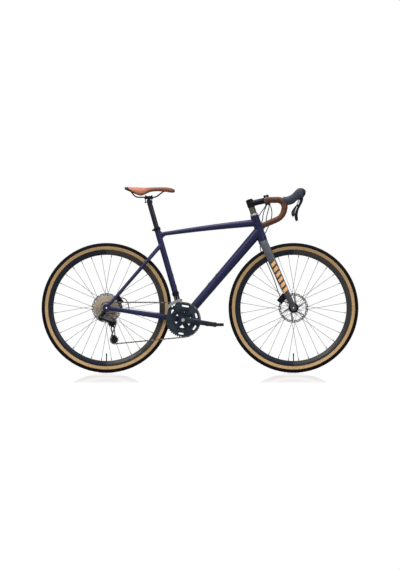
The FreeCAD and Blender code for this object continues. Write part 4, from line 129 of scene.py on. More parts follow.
class BikeSizes(bpy.types.PropertyGroup):
    """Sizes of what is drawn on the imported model"""

    casing_drop: length_setting("Casing drop", "Tyre casing below the tops of the knobs", 1.2 * MM)
    knob_foot: length_setting("Knob foot", "Half diagonal of a tread knob at its foot", 3.7 * MM)
    knob_top: length_setting("Knob top", "Half diagonal of a tread knob at its top", 2.9 * MM)
    knob_count: bpy.props.IntProperty(
        name="Knobs", description="Knobs in one row of the tread", default=232, min=20, max=600)
    tape_pitch: length_setting("Tape pitch", "One turn of bar tape along the bar", 21 * MM)
    tape_lap: length_setting("Tape lap", "Step where one turn of tape lies on the last", 0.9 * MM)
    tape_radius: length_setting("Tape radius", "Outside of the wound bar", 15.0 * MM)
    cable_radius: length_setting("Cable radius", "Housings and hoses", 2.5 * MM)
    stitch_pitch: length_setting("Stitch pitch", "Between the saddle's stitches", 5.0 * MM)
    saddle_pad: length_setting("Saddle pad", "Thickness of the saddle cover", 13 * MM)


class BikeStage(bpy.types.PropertyGroup):
    """Camera and light"""

    lens: bpy.props.FloatProperty(
        name="Lens", description="Focal length in millimetres", default=500.0, min=20.0, max=1000.0)
    view_height: length_setting("View height", "Height of the picture at the bike", 3.061)
    aim_height: length_setting("Aim height", "Height of the picture's middle", 0.472)
    floor_colour: colour_setting("Floor", "Pale floor and backdrop", (0.80, 0.80, 0.80))
    low_light: bpy.props.FloatProperty(
        name="Low light", description="Light of the room at eye level", default=0.15, min=0.0, max=5.0)
    high_light: bpy.props.FloatProperty(
        name="High light", description="Light of the room overhead", default=0.95, min=0.0, max=5.0)
    mirror_reach: length_setting("Mirror reach", "How far from the wheels the floor shines", 4.14)


# Shader building

MADE = {}


def kept(maker):
    """Each group, tree and finish is made once."""
    def made(*parts):
        key = (maker.__name__,) + parts
        if key not in MADE:
            MADE[key] = maker(*parts)
        return MADE[key]
    return made


def put(tree, kind, inputs=None, **settings):
    """Add a node, set it up, and set or link its inputs by name or number."""
    node = tree.nodes.new(kind)
    for name, value in settings.items():
        setattr(node, name, value)
    for name, value in (inputs or {}).items():
        socket = node.inputs[name]
        if isinstance(value, bpy.types.NodeSocket):
            tree.links.new(value, socket)
        else:
            socket.default_value = value
    return node


def calc(tree, operation, first, second=0.0):
    return put(tree, "ShaderNodeMath", {0: first, 1: second}, operation=operation).outputs[0]


def times(tree, *values):
    """The product of several values."""
    product = values[0]
    for value in values[1:]:
        product = calc(tree, "MULTIPLY", product, value)
    return product


def between(tree, value, low, high):
    """0 at low and 1 at high, with a smooth rise from one to the other."""
    node = put(tree, "ShaderNodeMapRange", {"Value": value, "From Min": low, "From Max": high},
               interpolation_type="SMOOTHSTEP")
    return node.outputs["Result"]


def within(tree, value, low, high):
    """1 between low and high, and 0 elsewhere."""
    return times(tree, calc(tree, "GREATER_THAN", value, low), calc(tree, "LESS_THAN", value, high))


def zigzag(tree, value, pitch):
    """0 in the middle of each pitch, rising to a half at its ends."""
    share = calc(tree, "FRACT", calc(tree, "DIVIDE", value, pitch))
    return calc(tree, "ABSOLUTE", calc(tree, "SUBTRACT", share, 0.5))


def along(tree, place, start, direction):
    """How far a place is from a start along a direction."""
    local = put(tree, "ShaderNodeVectorMath", {0: place, 1: start}, operation="SUBTRACT")
    node = put(tree, "ShaderNodeVectorMath", {0: local.outputs["Vector"], 1: direction},
               operation="DOT_PRODUCT")
    return node.outputs["Value"]


def noise(tree, place, scale, detail, **more):
    return put(tree, "ShaderNodeTexNoise", {"Vector": place, "Scale": scale, "Detail": detail, **more})


def mixed(tree, share, first, second):
    """A mix of two colours, each a socket or three numbers."""
    inputs = {0: share}
    for place, colour in ((6, first), (7, second)):
        inputs[place] = colour if isinstance(colour, bpy.types.NodeSocket) else (*tuple(colour)[:3], 1.0)
    return put(tree, "ShaderNodeMix", inputs, data_type="RGBA").outputs[2]


def tinted(tree, mask, amount, first, second):
    """The first colour, with so much of the second where the mask is."""
    return mixed(tree, calc(tree, "MULTIPLY", mask, amount), first, second)


def shade(colour, share):
    return tuple(min(1.0, channel * share) for channel in tuple(colour)[:3])


def new_group(name, inputs, outputs):
    """An empty shader group with named sockets."""
    tree = bpy.data.node_groups.new(name, "ShaderNodeTree")
    for title, kind, default in inputs:
        socket = tree.interface.new_socket(name=title, in_out="INPUT", socket_type=kind)
        if default is not None:
            socket.default_value = default
    for title, kind in outputs:
        tree.interface.new_socket(name=title, in_out="OUTPUT", socket_type=kind)
    entry = tree.nodes.new("NodeGroupInput")
    leave = tree.nodes.new("NodeGroupOutput")
    return tree, entry.outputs, leave.inputs


VECTOR = "NodeSocketVector"
FLOAT = "NodeSocketFloat"
MATERIAL = "NodeSocketMaterial"


@kept
def grain_group():
    """Uneven colour and a fine rough skin."""
    tree, given, made = new_group(
        "surface_grain",
        [("Vector", VECTOR, None), ("Cloud Scale", FLOAT, 18.0), ("Grain Scale", FLOAT, 900.0)],
        [("Tint", FLOAT), ("Height", FLOAT)])
    cloud = noise(tree, given["Vector"], given["Cloud Scale"], 5.0, Roughness=0.6)
    fine = noise(tree, given["Vector"], given["Grain Scale"], 3.0, Roughness=0.55)
    tree.links.new(between(tree, cloud.outputs["Fac"], 0.3, 0.7), made["Tint"])
    tree.links.new(fine.outputs["Fac"], made["Height"])
    return tree


@kept
def leather_group():
    """Pebbled hide: raised cells with creases between them."""
    tree, given, made = new_group(
        "leather_grain",
        [("Vector", VECTOR, None), ("Cell Scale", FLOAT, 700.0), ("Cloud Scale", FLOAT, 25.0)],
        [("Height", FLOAT), ("Crease", FLOAT), ("Tint", FLOAT)])
    warp = noise(tree, given["Vector"], 160.0, 2.0)
    push = put(tree, "ShaderNodeVectorMath", {0: warp.outputs["Color"], "Scale": 0.0016}, operation="SCALE")
    moved = put(tree, "ShaderNodeVectorMath", {0: given["Vector"], 1: push.outputs["Vector"]})
    cells = put(tree, "ShaderNodeTexVoronoi", {
        "Vector": moved.outputs["Vector"], "Scale": given["Cell Scale"]}, feature="DISTANCE_TO_EDGE")
    height = between(tree, cells.outputs["Distance"], 0.0, 0.16)
    cloud = noise(tree, given["Vector"], given["Cloud Scale"], 6.0, Roughness=0.62)
    tree.links.new(height, made["Height"])
    tree.links.new(calc(tree, "SUBTRACT", 1.0, height), made["Crease"])
    tree.links.new(between(tree, cloud.outputs["Fac"], 0.32, 0.68), made["Tint"])
    return tree


@kept
def scuff_group():
    """Sparse rubbed places with fine scratches in them."""
    tree, given, made = new_group(
        "scuffs",
        [("Vector", VECTOR, None), ("Scale", FLOAT, 30.0), ("Amount", FLOAT, 0.5)],
        [("Mask", FLOAT)])
    where = noise(tree, given["Vector"], given["Scale"], 4.0, Roughness=0.7)
    lines = noise(tree, given["Vector"], 420.0, 2.0, Distortion=2.5)
    patch = between(tree, where.outputs["Fac"], 0.52, 0.72)
    thin = between(tree, lines.outputs["Fac"], 0.55, 0.66)
    tree.links.new(times(tree, patch, thin, given["Amount"]), made["Mask"])
    return tree


@kept
def polar_group():
    """Distance from an axle, turn about it, and a place for lines turned about it."""
    tree, given, made = new_group(
        "about_axle",
        [("Vector", VECTOR, None), ("Centre", VECTOR, (0.0, 0.0, 0.0))],
        [("Radius", FLOAT), ("Turn", FLOAT), ("Ahead", FLOAT), ("Rings", VECTOR)])
    local = put(tree, "ShaderNodeVectorMath", {0: given["Vector"], 1: given["Centre"]},
                operation="SUBTRACT")
    parts = put(tree, "ShaderNodeSeparateXYZ", {0: local.outputs["Vector"]}).outputs
    ahead = parts["X"]
    up = parts["Z"]
    radius = calc(tree, "SQRT", calc(tree, "ADD", times(tree, ahead, ahead), times(tree, up, up)))
    turn = calc(tree, "ARCTAN2", up, ahead)
    rings = put(tree, "ShaderNodeCombineXYZ", {
        "X": radius, "Y": parts["Y"], "Z": calc(tree, "MULTIPLY", turn, 0.02)})
    tree.links.new(radius, made["Radius"])
    tree.links.new(turn, made["Turn"])
    tree.links.new(ahead, made["Ahead"])
    tree.links.new(rings.outputs["Vector"], made["Rings"])
    return tree


class Finish:
    """A material with its shader and object coordinates in place."""

    def __init__(self, name, metallic=0.0, **sockets):
        self.material = bpy.data.materials.new(name)
        self.material.use_nodes = True
        self.tree = self.material.node_tree
        self.tree.nodes.clear()
        self.shader = put(self.tree, "ShaderNodeBsdfPrincipled", {
            "Metallic": metallic, "Specular IOR Level": 0.2})
        for title, value in sockets.items():
            socket = title.replace("_", " ").title().replace("Ior", "IOR")
            self.shader.inputs[socket].default_value = value
        put(self.tree, "ShaderNodeOutputMaterial", {"Surface": self.shader.outputs["BSDF"]})
        self.place = put(self.tree, "ShaderNodeTexCoord").outputs["Object"]

    def group(self, tree, **inputs):
        inputs.setdefault("Vector", self.place)
        named = {title.replace("_", " "): value for title, value in inputs.items()}
        return put(self.tree, "ShaderNodeGroup", named, node_tree=tree).outputs

    def split(self):
        return put(self.tree, "ShaderNodeSeparateXYZ", {0: self.place}).outputs

    def done(self, colour, tint, rough, height, bump):
        """Feed in the colour, a roughness that the tint moves between two values, and a bump.

        The bump is given by its depth in metres and its strength.
        """
        spread = put(self.tree, "ShaderNodeMapRange", {
            "Value": tint, "To Min": rough[0], "To Max": rough[1]})
        relief = put(self.tree, "ShaderNodeBump", {
            "Height": height, "Distance": bump[0], "Strength": bump[1]})
        for title, socket in (("Base Color", colour), ("Roughness", spread.outputs["Result"]),
                              ("Normal", relief.outputs["Normal"])):
            self.tree.links.new(socket, self.shader.inputs[title])
        return self.material


def colours():
    return bpy.context.scene.bike_colours


def sizes():
    return bpy.context.scene.bike_sizes


@kept
def frame_paint():
    """Satin paint with a few faint scuffs."""
    base = colours().frame_paint
    finish = Finish("frame_paint", coat_weight=0.07, coat_roughness=0.1)
    grain = finish.group(grain_group(), Cloud_Scale=6.0, Grain_Scale=1500.0)
    scuff = finish.group(scuff_group(), Scale=14.0, Amount=0.25)
    colour = mixed(finish.tree, grain["Tint"], shade(base, 0.90), shade(base, 1.14))
    colour = mixed(finish.tree, scuff["Mask"], colour, shade(base, 1.9))
    return finish.done(colour, grain["Tint"], (0.36, 0.44), grain["Height"], (0.00003, 0.5))


# Metres along the fork from the head's foot; the slant is a slope, and the share is of one pitch
FORK_FADE = (0.118, 0.124)
BAR_PITCH = 0.0305
BAR_SLANT = 0.45
BAR_SHARE = (0.22, 0.80)
BAR_REACH = (0.129, 0.312)
BAR_HALF_WIDTH = 0.0135
LEG_OUTSIDE = 0.038


@kept
def fork_paint():
    """Grey above, charcoal below, with plain slanted bars on the outsides of the legs."""
    finish = Finish("fork_paint", coat_weight=0.08, coat_roughness=0.2)
    tree = finish.tree
    grain = finish.group(grain_group(), Cloud_Scale=9.0, Grain_Scale=1500.0)
    run = (FRONT_AXLE - HEAD_FOOT).normalized()
    side = Vector((-run.z, 0.0, run.x))
    down = along(tree, finish.place, HEAD_FOOT, run)
    fore = along(tree, finish.place, HEAD_FOOT, side)
    across = along(tree, finish.place, HEAD_FOOT, (0.0, 1.0, 0.0))
    base = mixed(tree, between(tree, down, *FORK_FADE), colours().fork_upper, colours().fork_lower)
    base = tinted(tree, grain["Tint"], 0.25, base, shade(colours().fork_lower, 0.55))
    slanted = calc(tree, "ADD", down, calc(tree, "MULTIPLY", fore, BAR_SLANT))
    step = calc(tree, "FRACT", calc(tree, "DIVIDE", slanted, BAR_PITCH))
    width = calc(tree, "LESS_THAN", calc(tree, "ABSOLUTE", fore), BAR_HALF_WIDTH)
    outside = calc(tree, "GREATER_THAN", calc(tree, "ABSOLUTE", across), LEG_OUTSIDE)
    mask = times(tree, within(tree, step, *BAR_SHARE), width, within(tree, slanted, *BAR_REACH), outside)
    colour = mixed(tree, mask, base, colours().fork_bars)
    return finish.done(colour, grain["Tint"], (0.36, 0.46), grain["Height"], (0.00003, 0.5))


@kept
def anodised(name, share, roughness):
    """Dyed alloy with rubbed places."""
    base = shade(colours().black_parts, share)
    finish = Finish(name, metallic=0.55)
    grain = finish.group(grain_group(), Cloud_Scale=40.0, Grain_Scale=2600.0)
    scuff = finish.group(scuff_group(), Scale=45.0, Amount=0.5)
    colour = mixed(finish.tree, grain["Tint"], shade(base, 0.85), shade(base, 1.25))
    colour = mixed(finish.tree, scuff["Mask"], colour, srgb(120, 121, 124))
    rough = (roughness - 0.06, roughness + 0.06)
    return finish.done(colour, grain["Tint"], rough, grain["Height"], (0.00002, 0.6))


AXLE_CAP = 0.0095


@kept
def crank_finish(name, tone):
    """Dark pressed rings and forged arms with rubbed high places and a bright cap on the axle."""
    base = shade(colours().chainring, tone)
    finish = Finish(name, metallic=0.5)
    grain = finish.group(grain_group(), Cloud_Scale=30.0, Grain_Scale=1800.0)
    scuff = finish.group(scuff_group(), Scale=38.0, Amount=0.75)
    colour = mixed(finish.tree, grain["Tint"], shade(base, 0.75), shade(base, 1.2))
    colour = mixed(finish.tree, scuff["Mask"], colour, srgb(150, 152, 156))
    polar = finish.group(polar_group(), Centre=CRANK_AXLE)
    cap = calc(finish.tree, "LESS_THAN", polar["Radius"], AXLE_CAP)
    colour = mixed(finish.tree, cap, colour, srgb(186, 188, 192))
    return finish.done(colour, grain["Tint"], (0.33, 0.48), grain["Height"], (0.00002, 0.6))


@kept
def metal(name, which, roughness):
    """Bare metal with a fine grain and dull clouds."""
    base = getattr(colours(), which)
    finish = Finish(name, metallic=1.0)
    grain = finish.group(grain_group(), Cloud_Scale=120.0, Grain_Scale=1600.0)
    cloud = finish.group(grain_group(), Cloud_Scale=20.0, Grain_Scale=600.0)
    colour = mixed(finish.tree, grain["Tint"], shade(base, 0.80), shade(base, 1.08))
    colour = tinted(finish.tree, cloud["Tint"], 0.35, colour, shade(base, 0.62))
    rough = (roughness - 0.08, roughness + 0.08)
    return finish.done(colour, grain["Tint"], rough, grain["Height"], (0.00003, 0.5))


# Metres up the steerer from the top of the head tube
COVER_TOP = 0.0121
SPACERS_TOP = 0.0485
SPACER_PITCH = 0.012


@kept
def spacer_finish():
    """Pale bearing cover at the foot, olive spacers, and a black cap on top."""
    finish = Finish("spacer_finish", metallic=0.45)
    tree = finish.tree
    grain = finish.group(grain_group(), Cloud_Scale=60.0, Grain_Scale=2000.0)
    height = along(tree, finish.place, HEAD_TOP, STEER_UP)
    colour = mixed(tree, calc(tree, "GREATER_THAN", height, COVER_TOP), srgb(150, 148, 152),
                   colours().spacer_metal)
    colour = mixed(tree, calc(tree, "GREATER_THAN", height, SPACERS_TOP), colour, colours().black_parts)
    split = between(tree, zigzag(tree, height, SPACER_PITCH), 0.46, 0.49)
    colour = tinted(tree, split, 0.6, colour, srgb(30, 30, 30))
    colour = tinted(tree, grain["Tint"], 0.2, colour, srgb(60, 60, 58))
    return finish.done(colour, grain["Tint"], (0.36, 0.5), grain["Height"], (0.00002, 0.5))


TWO_LINKS = 0.0254


@kept
def chain_finish():
    """Oiled steel, paler on every other link."""
    base = colours().chain_metal
    finish = Finish("chain_finish", metallic=0.7)
    tree = finish.tree
    grain = finish.group(grain_group(), Cloud_Scale=90.0, Grain_Scale=1500.0)
    wave = zigzag(tree, finish.split()["X"], TWO_LINKS)
    colour = mixed(tree, between(tree, wave, 0.17, 0.33), shade(base, 0.32), shade(base, 1.15))
    colour = tinted(tree, grain["Tint"], 0.4, colour, shade(base, 0.5))
    return finish.done(colour, grain["Tint"], (0.3, 0.45), grain["Height"], (0.00003, 0.5))


@kept
def ringed_metal(name, which, roughness, end, metallic):
    """Metal with lines turned about a wheel's axle."""
    base = getattr(colours(), which)
    finish = Finish(name, metallic=metallic)
    polar = finish.group(polar_group(), Centre=AXLES[end])
    grain = finish.group(grain_group(), Vector=polar["Rings"], Cloud_Scale=700.0, Grain_Scale=2500.0)
    cloud = finish.group(grain_group(), Cloud_Scale=26.0, Grain_Scale=600.0)
    colour = mixed(finish.tree, grain["Tint"], shade(base, 0.78), shade(base, 1.1))
    colour = tinted(finish.tree, cloud["Tint"], 0.3, colour, shade(base, 0.66))
    rough = (roughness - 0.07, roughness + 0.1)
    return finish.done(colour, grain["Tint"], rough, grain["Height"], (0.00004, 0.6))


# Metres from the axle: ahead for the split between the painted shaded and painted lit halves, outwards for the
# painted shade line at the edge by the tyre and for the valve
RIM_LIGHT_SPLIT = (-0.003, 0.003)
RIM_EDGE_SHADE = (0.3125, 0.3145)
VALVE_TOP = 0.2835


@kept
def rim_finish(end):
    """Painted shade on the rear half and painted light on the front half, split above and below the hub,
    turned lines, a painted shade line at the edge by the tyre, and a dark valve.
    """
    finish = Finish(end + "_rim_finish", metallic=0.35)
    tree = finish.tree
    polar = finish.group(polar_group(), Centre=AXLES[end])
    grain = finish.group(grain_group(), Vector=polar["Rings"], Cloud_Scale=500.0, Grain_Scale=2200.0)
    # Painted shade on the rear half of the rim and painted light on its front half
    half = between(tree, polar["Ahead"], *RIM_LIGHT_SPLIT)
    colour = mixed(tree, half, colours().rim_shaded_half, colours().rim_lit_half)
    colour = tinted(tree, grain["Tint"], 0.22, colour, (0.012, 0.012, 0.014))
    # A painted shade line along the rim's outer edge, next to the tyre
    colour = mixed(tree, between(tree, polar["Radius"], *RIM_EDGE_SHADE), colour, srgb(44, 42, 42))
    valve = calc(tree, "LESS_THAN", polar["Radius"], VALVE_TOP)
    colour = mixed(tree, valve, colour, srgb(24, 24, 26))
    return finish.done(colour, grain["Tint"], (0.30, 0.44), grain["Height"], (0.00003, 0.5))


@kept
def tread_rubber():
    base = colours().tread
    finish = Finish("tread_rubber", specular_ior_level=0.1)
    grain = finish.group(grain_group(), Cloud_Scale=22.0, Grain_Scale=1100.0)
    colour = mixed(finish.tree, grain["Tint"], shade(base, 0.75), shade(base, 1.5))
    return finish.done(colour, grain["Tint"], (0.68, 0.82), grain["Height"], (0.00012, 0.7))


# Metres from the axle where the wall lies and where painted shade darkens it by the rim and under the tread;
# the threads are in radians for a metre
WALL_RADIUS = 0.33
WALL_THREADS = 5200.0
WALL_FOOT_SHADE = (0.3160, 0.3133)
WALL_HEAD_SHADE = (0.3285, 0.3310)


@kept
def side_wall(end):
    """Tan casing: crossed threads under the rubber, with painted shade at the bead by the rim and under the
    tread.
    """
    base = colours().side_wall
    finish = Finish(end + "_side_wall")
    tree = finish.tree
    polar = finish.group(polar_group(), Centre=AXLES[end])
    grain = finish.group(grain_group(), Cloud_Scale=30.0, Grain_Scale=1400.0)
    around = calc(tree, "MULTIPLY", polar["Turn"], WALL_RADIUS)
    weave = []
    for lean in (1.0, -1.0):
        line = calc(tree, "ADD", around, calc(tree, "MULTIPLY", polar["Radius"], lean))
        weave.append(calc(tree, "SINE", calc(tree, "MULTIPLY", line, WALL_THREADS)))
    threads = put(tree, "ShaderNodeMath", {0: calc(tree, "ADD", *weave), 1: 0.25, 2: 0.5},
                  operation="MULTIPLY_ADD").outputs[0]
    colour = mixed(tree, threads, shade(base, 0.88), shade(base, 1.06))
    colour = tinted(tree, grain["Tint"], 0.35, colour, shade(base, 0.78))
    # Painted shade where the wall meets the rim and where it runs under the tread
    dark = calc(tree, "MAXIMUM", between(tree, polar["Radius"], *WALL_FOOT_SHADE),
                between(tree, polar["Radius"], *WALL_HEAD_SHADE))
    colour = tinted(tree, dark, 0.55, colour, srgb(120, 88, 54))
    height = calc(tree, "ADD", threads, calc(tree, "MULTIPLY", grain["Height"], 0.4))
    return finish.done(colour, grain["Tint"], (0.55, 0.7), height, (0.00008, 0.6))


# The millimetres that the skirt's curve stands for at 1, and the slope of the dark tail's edge
SKIRT_SCALE = 60
TAIL_LEAN = 0.9


@kept
def saddle_leather():
    """Tan hide, darker from a little behind the middle to the nose, with a dark tail and nose, shaded lower
    edges and painted shade in the grain's creases.
    """
    base = colours().saddle_leather
    finish = Finish("saddle_leather", sheen_weight=0.12)
    tree = finish.tree
    hide = finish.group(leather_group(), Cell_Scale=620.0, Cloud_Scale=34.0)
    parts = finish.split()
    ahead = parts["X"]
    high = parts["Z"]
    colour = mixed(tree, hide["Tint"], shade(base, 0.93), shade(base, 1.06))
    # Darker from a little behind the middle to the nose
    darker_ahead = between(tree, ahead, SADDLE_TAIL + 0.10, SADDLE_TAIL + 0.15)
    colour = tinted(tree, darker_ahead, 0.7, colour, srgb(88, 48, 37))
    reach = calc(tree, "DIVIDE", calc(tree, "SUBTRACT", ahead, SADDLE_TAIL), SADDLE_LENGTH)
    foot = put(tree, "ShaderNodeFloatCurve", {"Value": reach})
    curve = foot.mapping.curves[0]
    curve.points[0].location = (0.0, SADDLE_SKIRTS[0] / SKIRT_SCALE)
    curve.points[1].location = (1.0, SADDLE_SKIRTS[-1] / SKIRT_SCALE)
    for place, skirt in list(zip(SADDLE_PLACES, SADDLE_SKIRTS))[1:-1]:
        curve.points.new(place, skirt / SKIRT_SCALE)
    foot.mapping.update()
    drop = calc(tree, "MULTIPLY", foot.outputs["Value"], SKIRT_SCALE * MM)
    above = calc(tree, "SUBTRACT", high, calc(tree, "SUBTRACT", SADDLE_TOP, drop))
    colour = tinted(tree, between(tree, above, 0.014, 0.002), 0.75, colour, srgb(70, 40, 28))
    # Painted shade in the creases of the grain
    colour = tinted(tree, hide["Crease"], 0.3, colour, shade(base, 0.5))
    tail_at = SADDLE_TAIL + SADDLE_TOP * TAIL_LEAN
    nose_at = SADDLE_TAIL + SADDLE_LENGTH
    leaning = calc(tree, "ADD", ahead, calc(tree, "MULTIPLY", high, TAIL_LEAN))
    tail = between(tree, leaning, tail_at + 0.0165, tail_at + 0.0135)
    nose = between(tree, ahead, nose_at - 0.0085, nose_at - 0.0065)
    colour = mixed(tree, calc(tree, "MAXIMUM", tail, nose), colour, srgb(24, 20, 20))
    return finish.done(colour, hide["Tint"], (0.42, 0.56), hide["Height"], (0.00008, 0.5))


@kept
def tape_leather():
    """Brown wound tape: fine hide with rows of pin holes, painted shade in the grain's creases and painted
    shade at the foot of each lap's edge.
    """
    base = colours().tape_leather
    finish = Finish("tape_leather", sheen_weight=0.1)
    tree = finish.tree
    hide = finish.group(leather_group(), Cell_Scale=900.0, Cloud_Scale=60.0)
    pins = put(tree, "ShaderNodeTexVoronoi", {"Vector": finish.place, "Scale": 240.0, "Randomness": 0.25})
    hole = between(tree, pins.outputs["Distance"], 0.24, 0.16)
    colour = mixed(tree, hide["Tint"], shade(base, 0.76), shade(base, 1.22))
    # Painted shade in the creases of the grain
    colour = tinted(tree, hide["Crease"], 0.4, colour, shade(base, 0.5))
    lap = put(tree, "ShaderNodeAttribute", attribute_name="lap").outputs["Fac"]
    # Painted shade at the foot of each lap's edge, where the next turn lies on it
    colour = tinted(tree, between(tree, lap, 0.22, 0.0), 0.6, colour, shade(base, 0.4))
    colour = tinted(tree, hole, 0.6, colour, shade(base, 0.25))
    skin = calc(tree, "SUBTRACT", hide["Height"], calc(tree, "MULTIPLY", hole, 1.4))
    return finish.done(colour, hide["Tint"], (0.5, 0.66), skin, (0.00018, 0.7))


# The ribs are in radians for a metre, and the rest in metres ahead where they fade and the cap begins
RIB_TURNS = 1900.0
RIBS_FRONT = (0.515, 0.495)
RIBS_REAR = (0.455, 0.470)
HOOD_CAP = (0.7600, 0.7620)


@kept
def hood_rubber():
    """Matt grey rubber with small ribs where the palm lies, and a black front cap."""
    base = colours().hood_rubber
    finish = Finish("hood_rubber")
    tree = finish.tree
    grain = finish.group(grain_group(), Cloud_Scale=28.0, Grain_Scale=1500.0)
    parts = finish.split()
    ahead = parts["X"]
    up = parts["Z"]
    slanted = calc(tree, "ADD", ahead, calc(tree, "MULTIPLY", up, -0.5))
    rib = calc(tree, "SINE", calc(tree, "MULTIPLY", slanted, RIB_TURNS))
    palm = times(tree, between(tree, ahead, *RIBS_FRONT), between(tree, ahead, *RIBS_REAR))
    colour = mixed(tree, grain["Tint"], shade(base, 0.85), shade(base, 1.15))
    front = between(tree, calc(tree, "ADD", ahead, calc(tree, "MULTIPLY", up, 0.22)), *HOOD_CAP)
    colour = mixed(tree, front, colour, srgb(30, 31, 35))
    height = calc(tree, "ADD", grain["Height"], times(tree, rib, palm, 1.6))
    return finish.done(colour, grain["Tint"], (0.52, 0.64), height, (0.00012, 0.6))


@kept
def moulded(name, which, share, roughness):
    """Moulded plastic or soft rubber with a fine spark grain."""
    base = shade(getattr(colours(), which), share)
    finish = Finish(name)
    grain = finish.group(grain_group(), Cloud_Scale=35.0, Grain_Scale=1900.0)
    scuff = finish.group(scuff_group(), Scale=30.0, Amount=0.35)
    colour = mixed(finish.tree, grain["Tint"], shade(base, 0.82), shade(base, 1.25))
    colour = mixed(finish.tree, scuff["Mask"], colour, srgb(92, 92, 94))
    rough = (roughness - 0.06, roughness + 0.06)
    return finish.done(colour, grain["Tint"], rough, grain["Height"], (0.00006, 0.6))


@kept
def housing():
    """Black cable housing, a little uneven."""
    finish = Finish("cable_housing", coat_weight=0.1, coat_roughness=0.3)
    grain = finish.group(grain_group(), Cloud_Scale=60.0, Grain_Scale=1200.0)
    colour = mixed(finish.tree, grain["Tint"], srgb(24, 24, 26), srgb(44, 45, 48))
    return finish.done(colour, grain["Tint"], (0.37, 0.50), grain["Height"], (0.00005, 0.5))


@kept
def saddle_thread():
    """Twisted sewing thread."""
    base = srgb(92, 52, 36)
    finish = Finish("saddle_thread")
    wave = put(finish.tree, "ShaderNodeTexWave", {
        "Vector": finish.place, "Scale": 900.0, "Distortion": 1.5}, bands_direction="DIAGONAL")
    twist = wave.outputs["Fac"]
    colour = mixed(finish.tree, twist, shade(base, 0.6), shade(base, 1.1))
    return finish.done(colour, twist, (0.6, 0.75), twist, (0.0001, 0.6))


# Mesh building

def dress(node_name, material):
    """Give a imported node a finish."""
    node = NODES[node_name]
    node.data.materials.clear()
    node.data.materials.append(material)


def new_piece(name, mesh, *materials):
    """Link a mesh as an object at the origin."""
    piece = bpy.data.objects.new(name, mesh)
    bpy.context.scene.collection.objects.link(piece)
    for material in materials:
        mesh.materials.append(material)
    return piece


def mesh_of(name, points, faces, marks=None):
    """A smooth mesh with its normals turned outwards; marks gives each face's material."""
    mesh = bpy.data.meshes.new(name)
    mesh.from_pydata(points, [], faces)
    if marks:
        mesh.polygons.foreach_set("material_index", marks)
    shape = bmesh.new()
    shape.from_mesh(mesh)
    bmesh.ops.recalc_face_normals(shape, faces=shape.faces)
    shape.to_mesh(mesh)
    shape.free()
    mesh.polygons.foreach_set("use_smooth", [True] * len(mesh.polygons))
    mesh.update()
    return mesh


def settled(piece):
    """Turn a piece's modifiers into its plain mesh."""
    bpy.context.view_layer.update()
    evaluated = piece.evaluated_get(bpy.context.evaluated_depsgraph_get())
    mesh = bpy.data.meshes.new_from_object(evaluated)
    piece.modifiers.clear()
    piece.data = mesh


def rings_to_faces(rings, around, closed_ends=True, loop=False):
    """Faces of a skin through rings of points, each with the same count."""
    faces = []
    last = rings if loop else rings - 1
    for ring in range(last):
        here = ring * around
        there = ((ring + 1) % rings) * around
        for step in range(around):
            follow = (step + 1) % around
            faces.append((here + step, here + follow, there + follow, there + step))
    if closed_ends and not loop:
        faces.append(tuple(range(around)))
        faces.append(tuple(reversed(range((rings - 1) * around, rings * around))))
    return faces


def smooth_between(values, places, share):
    """A smooth curve through values at places, read at share."""
    last = len(places) - 1
    index = max(0, min(last - 1, sum(1 for place in places if place <= share) - 1))
    span = places[index + 1] - places[index]
    t = (share - places[index]) / span

    def slope(at):
        before = max(0, at - 1)
        after = min(last, at + 1)
        return (values[after] - values[before]) / (places[after] - places[before]) * span

    first, second = values[index], values[index + 1]
    rise, fall = slope(index), slope(index + 1)
    return (first * (2 * t ** 3 - 3 * t ** 2 + 1) + rise * (t ** 3 - 2 * t ** 2 + t)
            + second * (3 * t ** 2 - 2 * t ** 3) + fall * (t ** 3 - t ** 2))


def frames_along(points):
    """A tangent and two steady cross directions at each point of a line."""
    frames = []
    normal = None
    for index, point in enumerate(points):
        before = points[max(0, index - 1)]
        after = points[min(len(points) - 1, index + 1)]
        tangent = (after - before).normalized()
        if normal is None:
            normal = tangent.orthogonal().normalized()
        normal = (normal - tangent * normal.dot(tangent)).normalized()
        frames.append((point, tangent, normal, tangent.cross(normal)))
    return frames


def tube_mesh(name, points, radius, around=14):
    corners = []
    for point, _, normal, other in frames_along(points):
        for step in range(around):
            turn = 2 * math.pi * step / around
            corners.append(point + (normal * math.cos(turn) + other * math.sin(turn)) * radius)
    return mesh_of(name, corners, rings_to_faces(len(points), around))


def spline_line(points):
    """The smooth line through a cord's route, read from its own spline."""
    curve = bpy.data.curves.new("route", "CURVE")
    curve.dimensions = "3D"
    curve.resolution_u = 12
    spline = curve.splines.new("NURBS")
    spline.points.add(len(points) - 1)
    for spot, point in zip(spline.points, points):
        spot.co = (*point, 1.0)
    spline.order_u = 3
    spline.use_endpoint_u = True
    holder = bpy.data.objects.new("route", curve)
    bpy.context.scene.collection.objects.link(holder)
    bpy.context.view_layer.update()
    mesh = bpy.data.meshes.new_from_object(holder.evaluated_get(bpy.context.evaluated_depsgraph_get()))
    line = [vertex.co.copy() for vertex in mesh.vertices]
    bpy.data.objects.remove(holder)
    bpy.data.meshes.remove(mesh)
    bpy.data.curves.remove(curve)
    return line


# Geometry Nodes

def new_tree(name, inputs):
    tree = bpy.data.node_groups.new(name, "GeometryNodeTree")
    tree.interface.new_socket(name="Geometry", in_out="INPUT", socket_type="NodeSocketGeometry")
    for title, kind in inputs:
        tree.interface.new_socket(name=title, in_out="INPUT", socket_type=kind)
    tree.interface.new_socket(name="Geometry", in_out="OUTPUT", socket_type="NodeSocketGeometry")
    entry = tree.nodes.new("NodeGroupInput").outputs
    leave = tree.nodes.new("NodeGroupOutput").inputs
    return tree, entry, leave


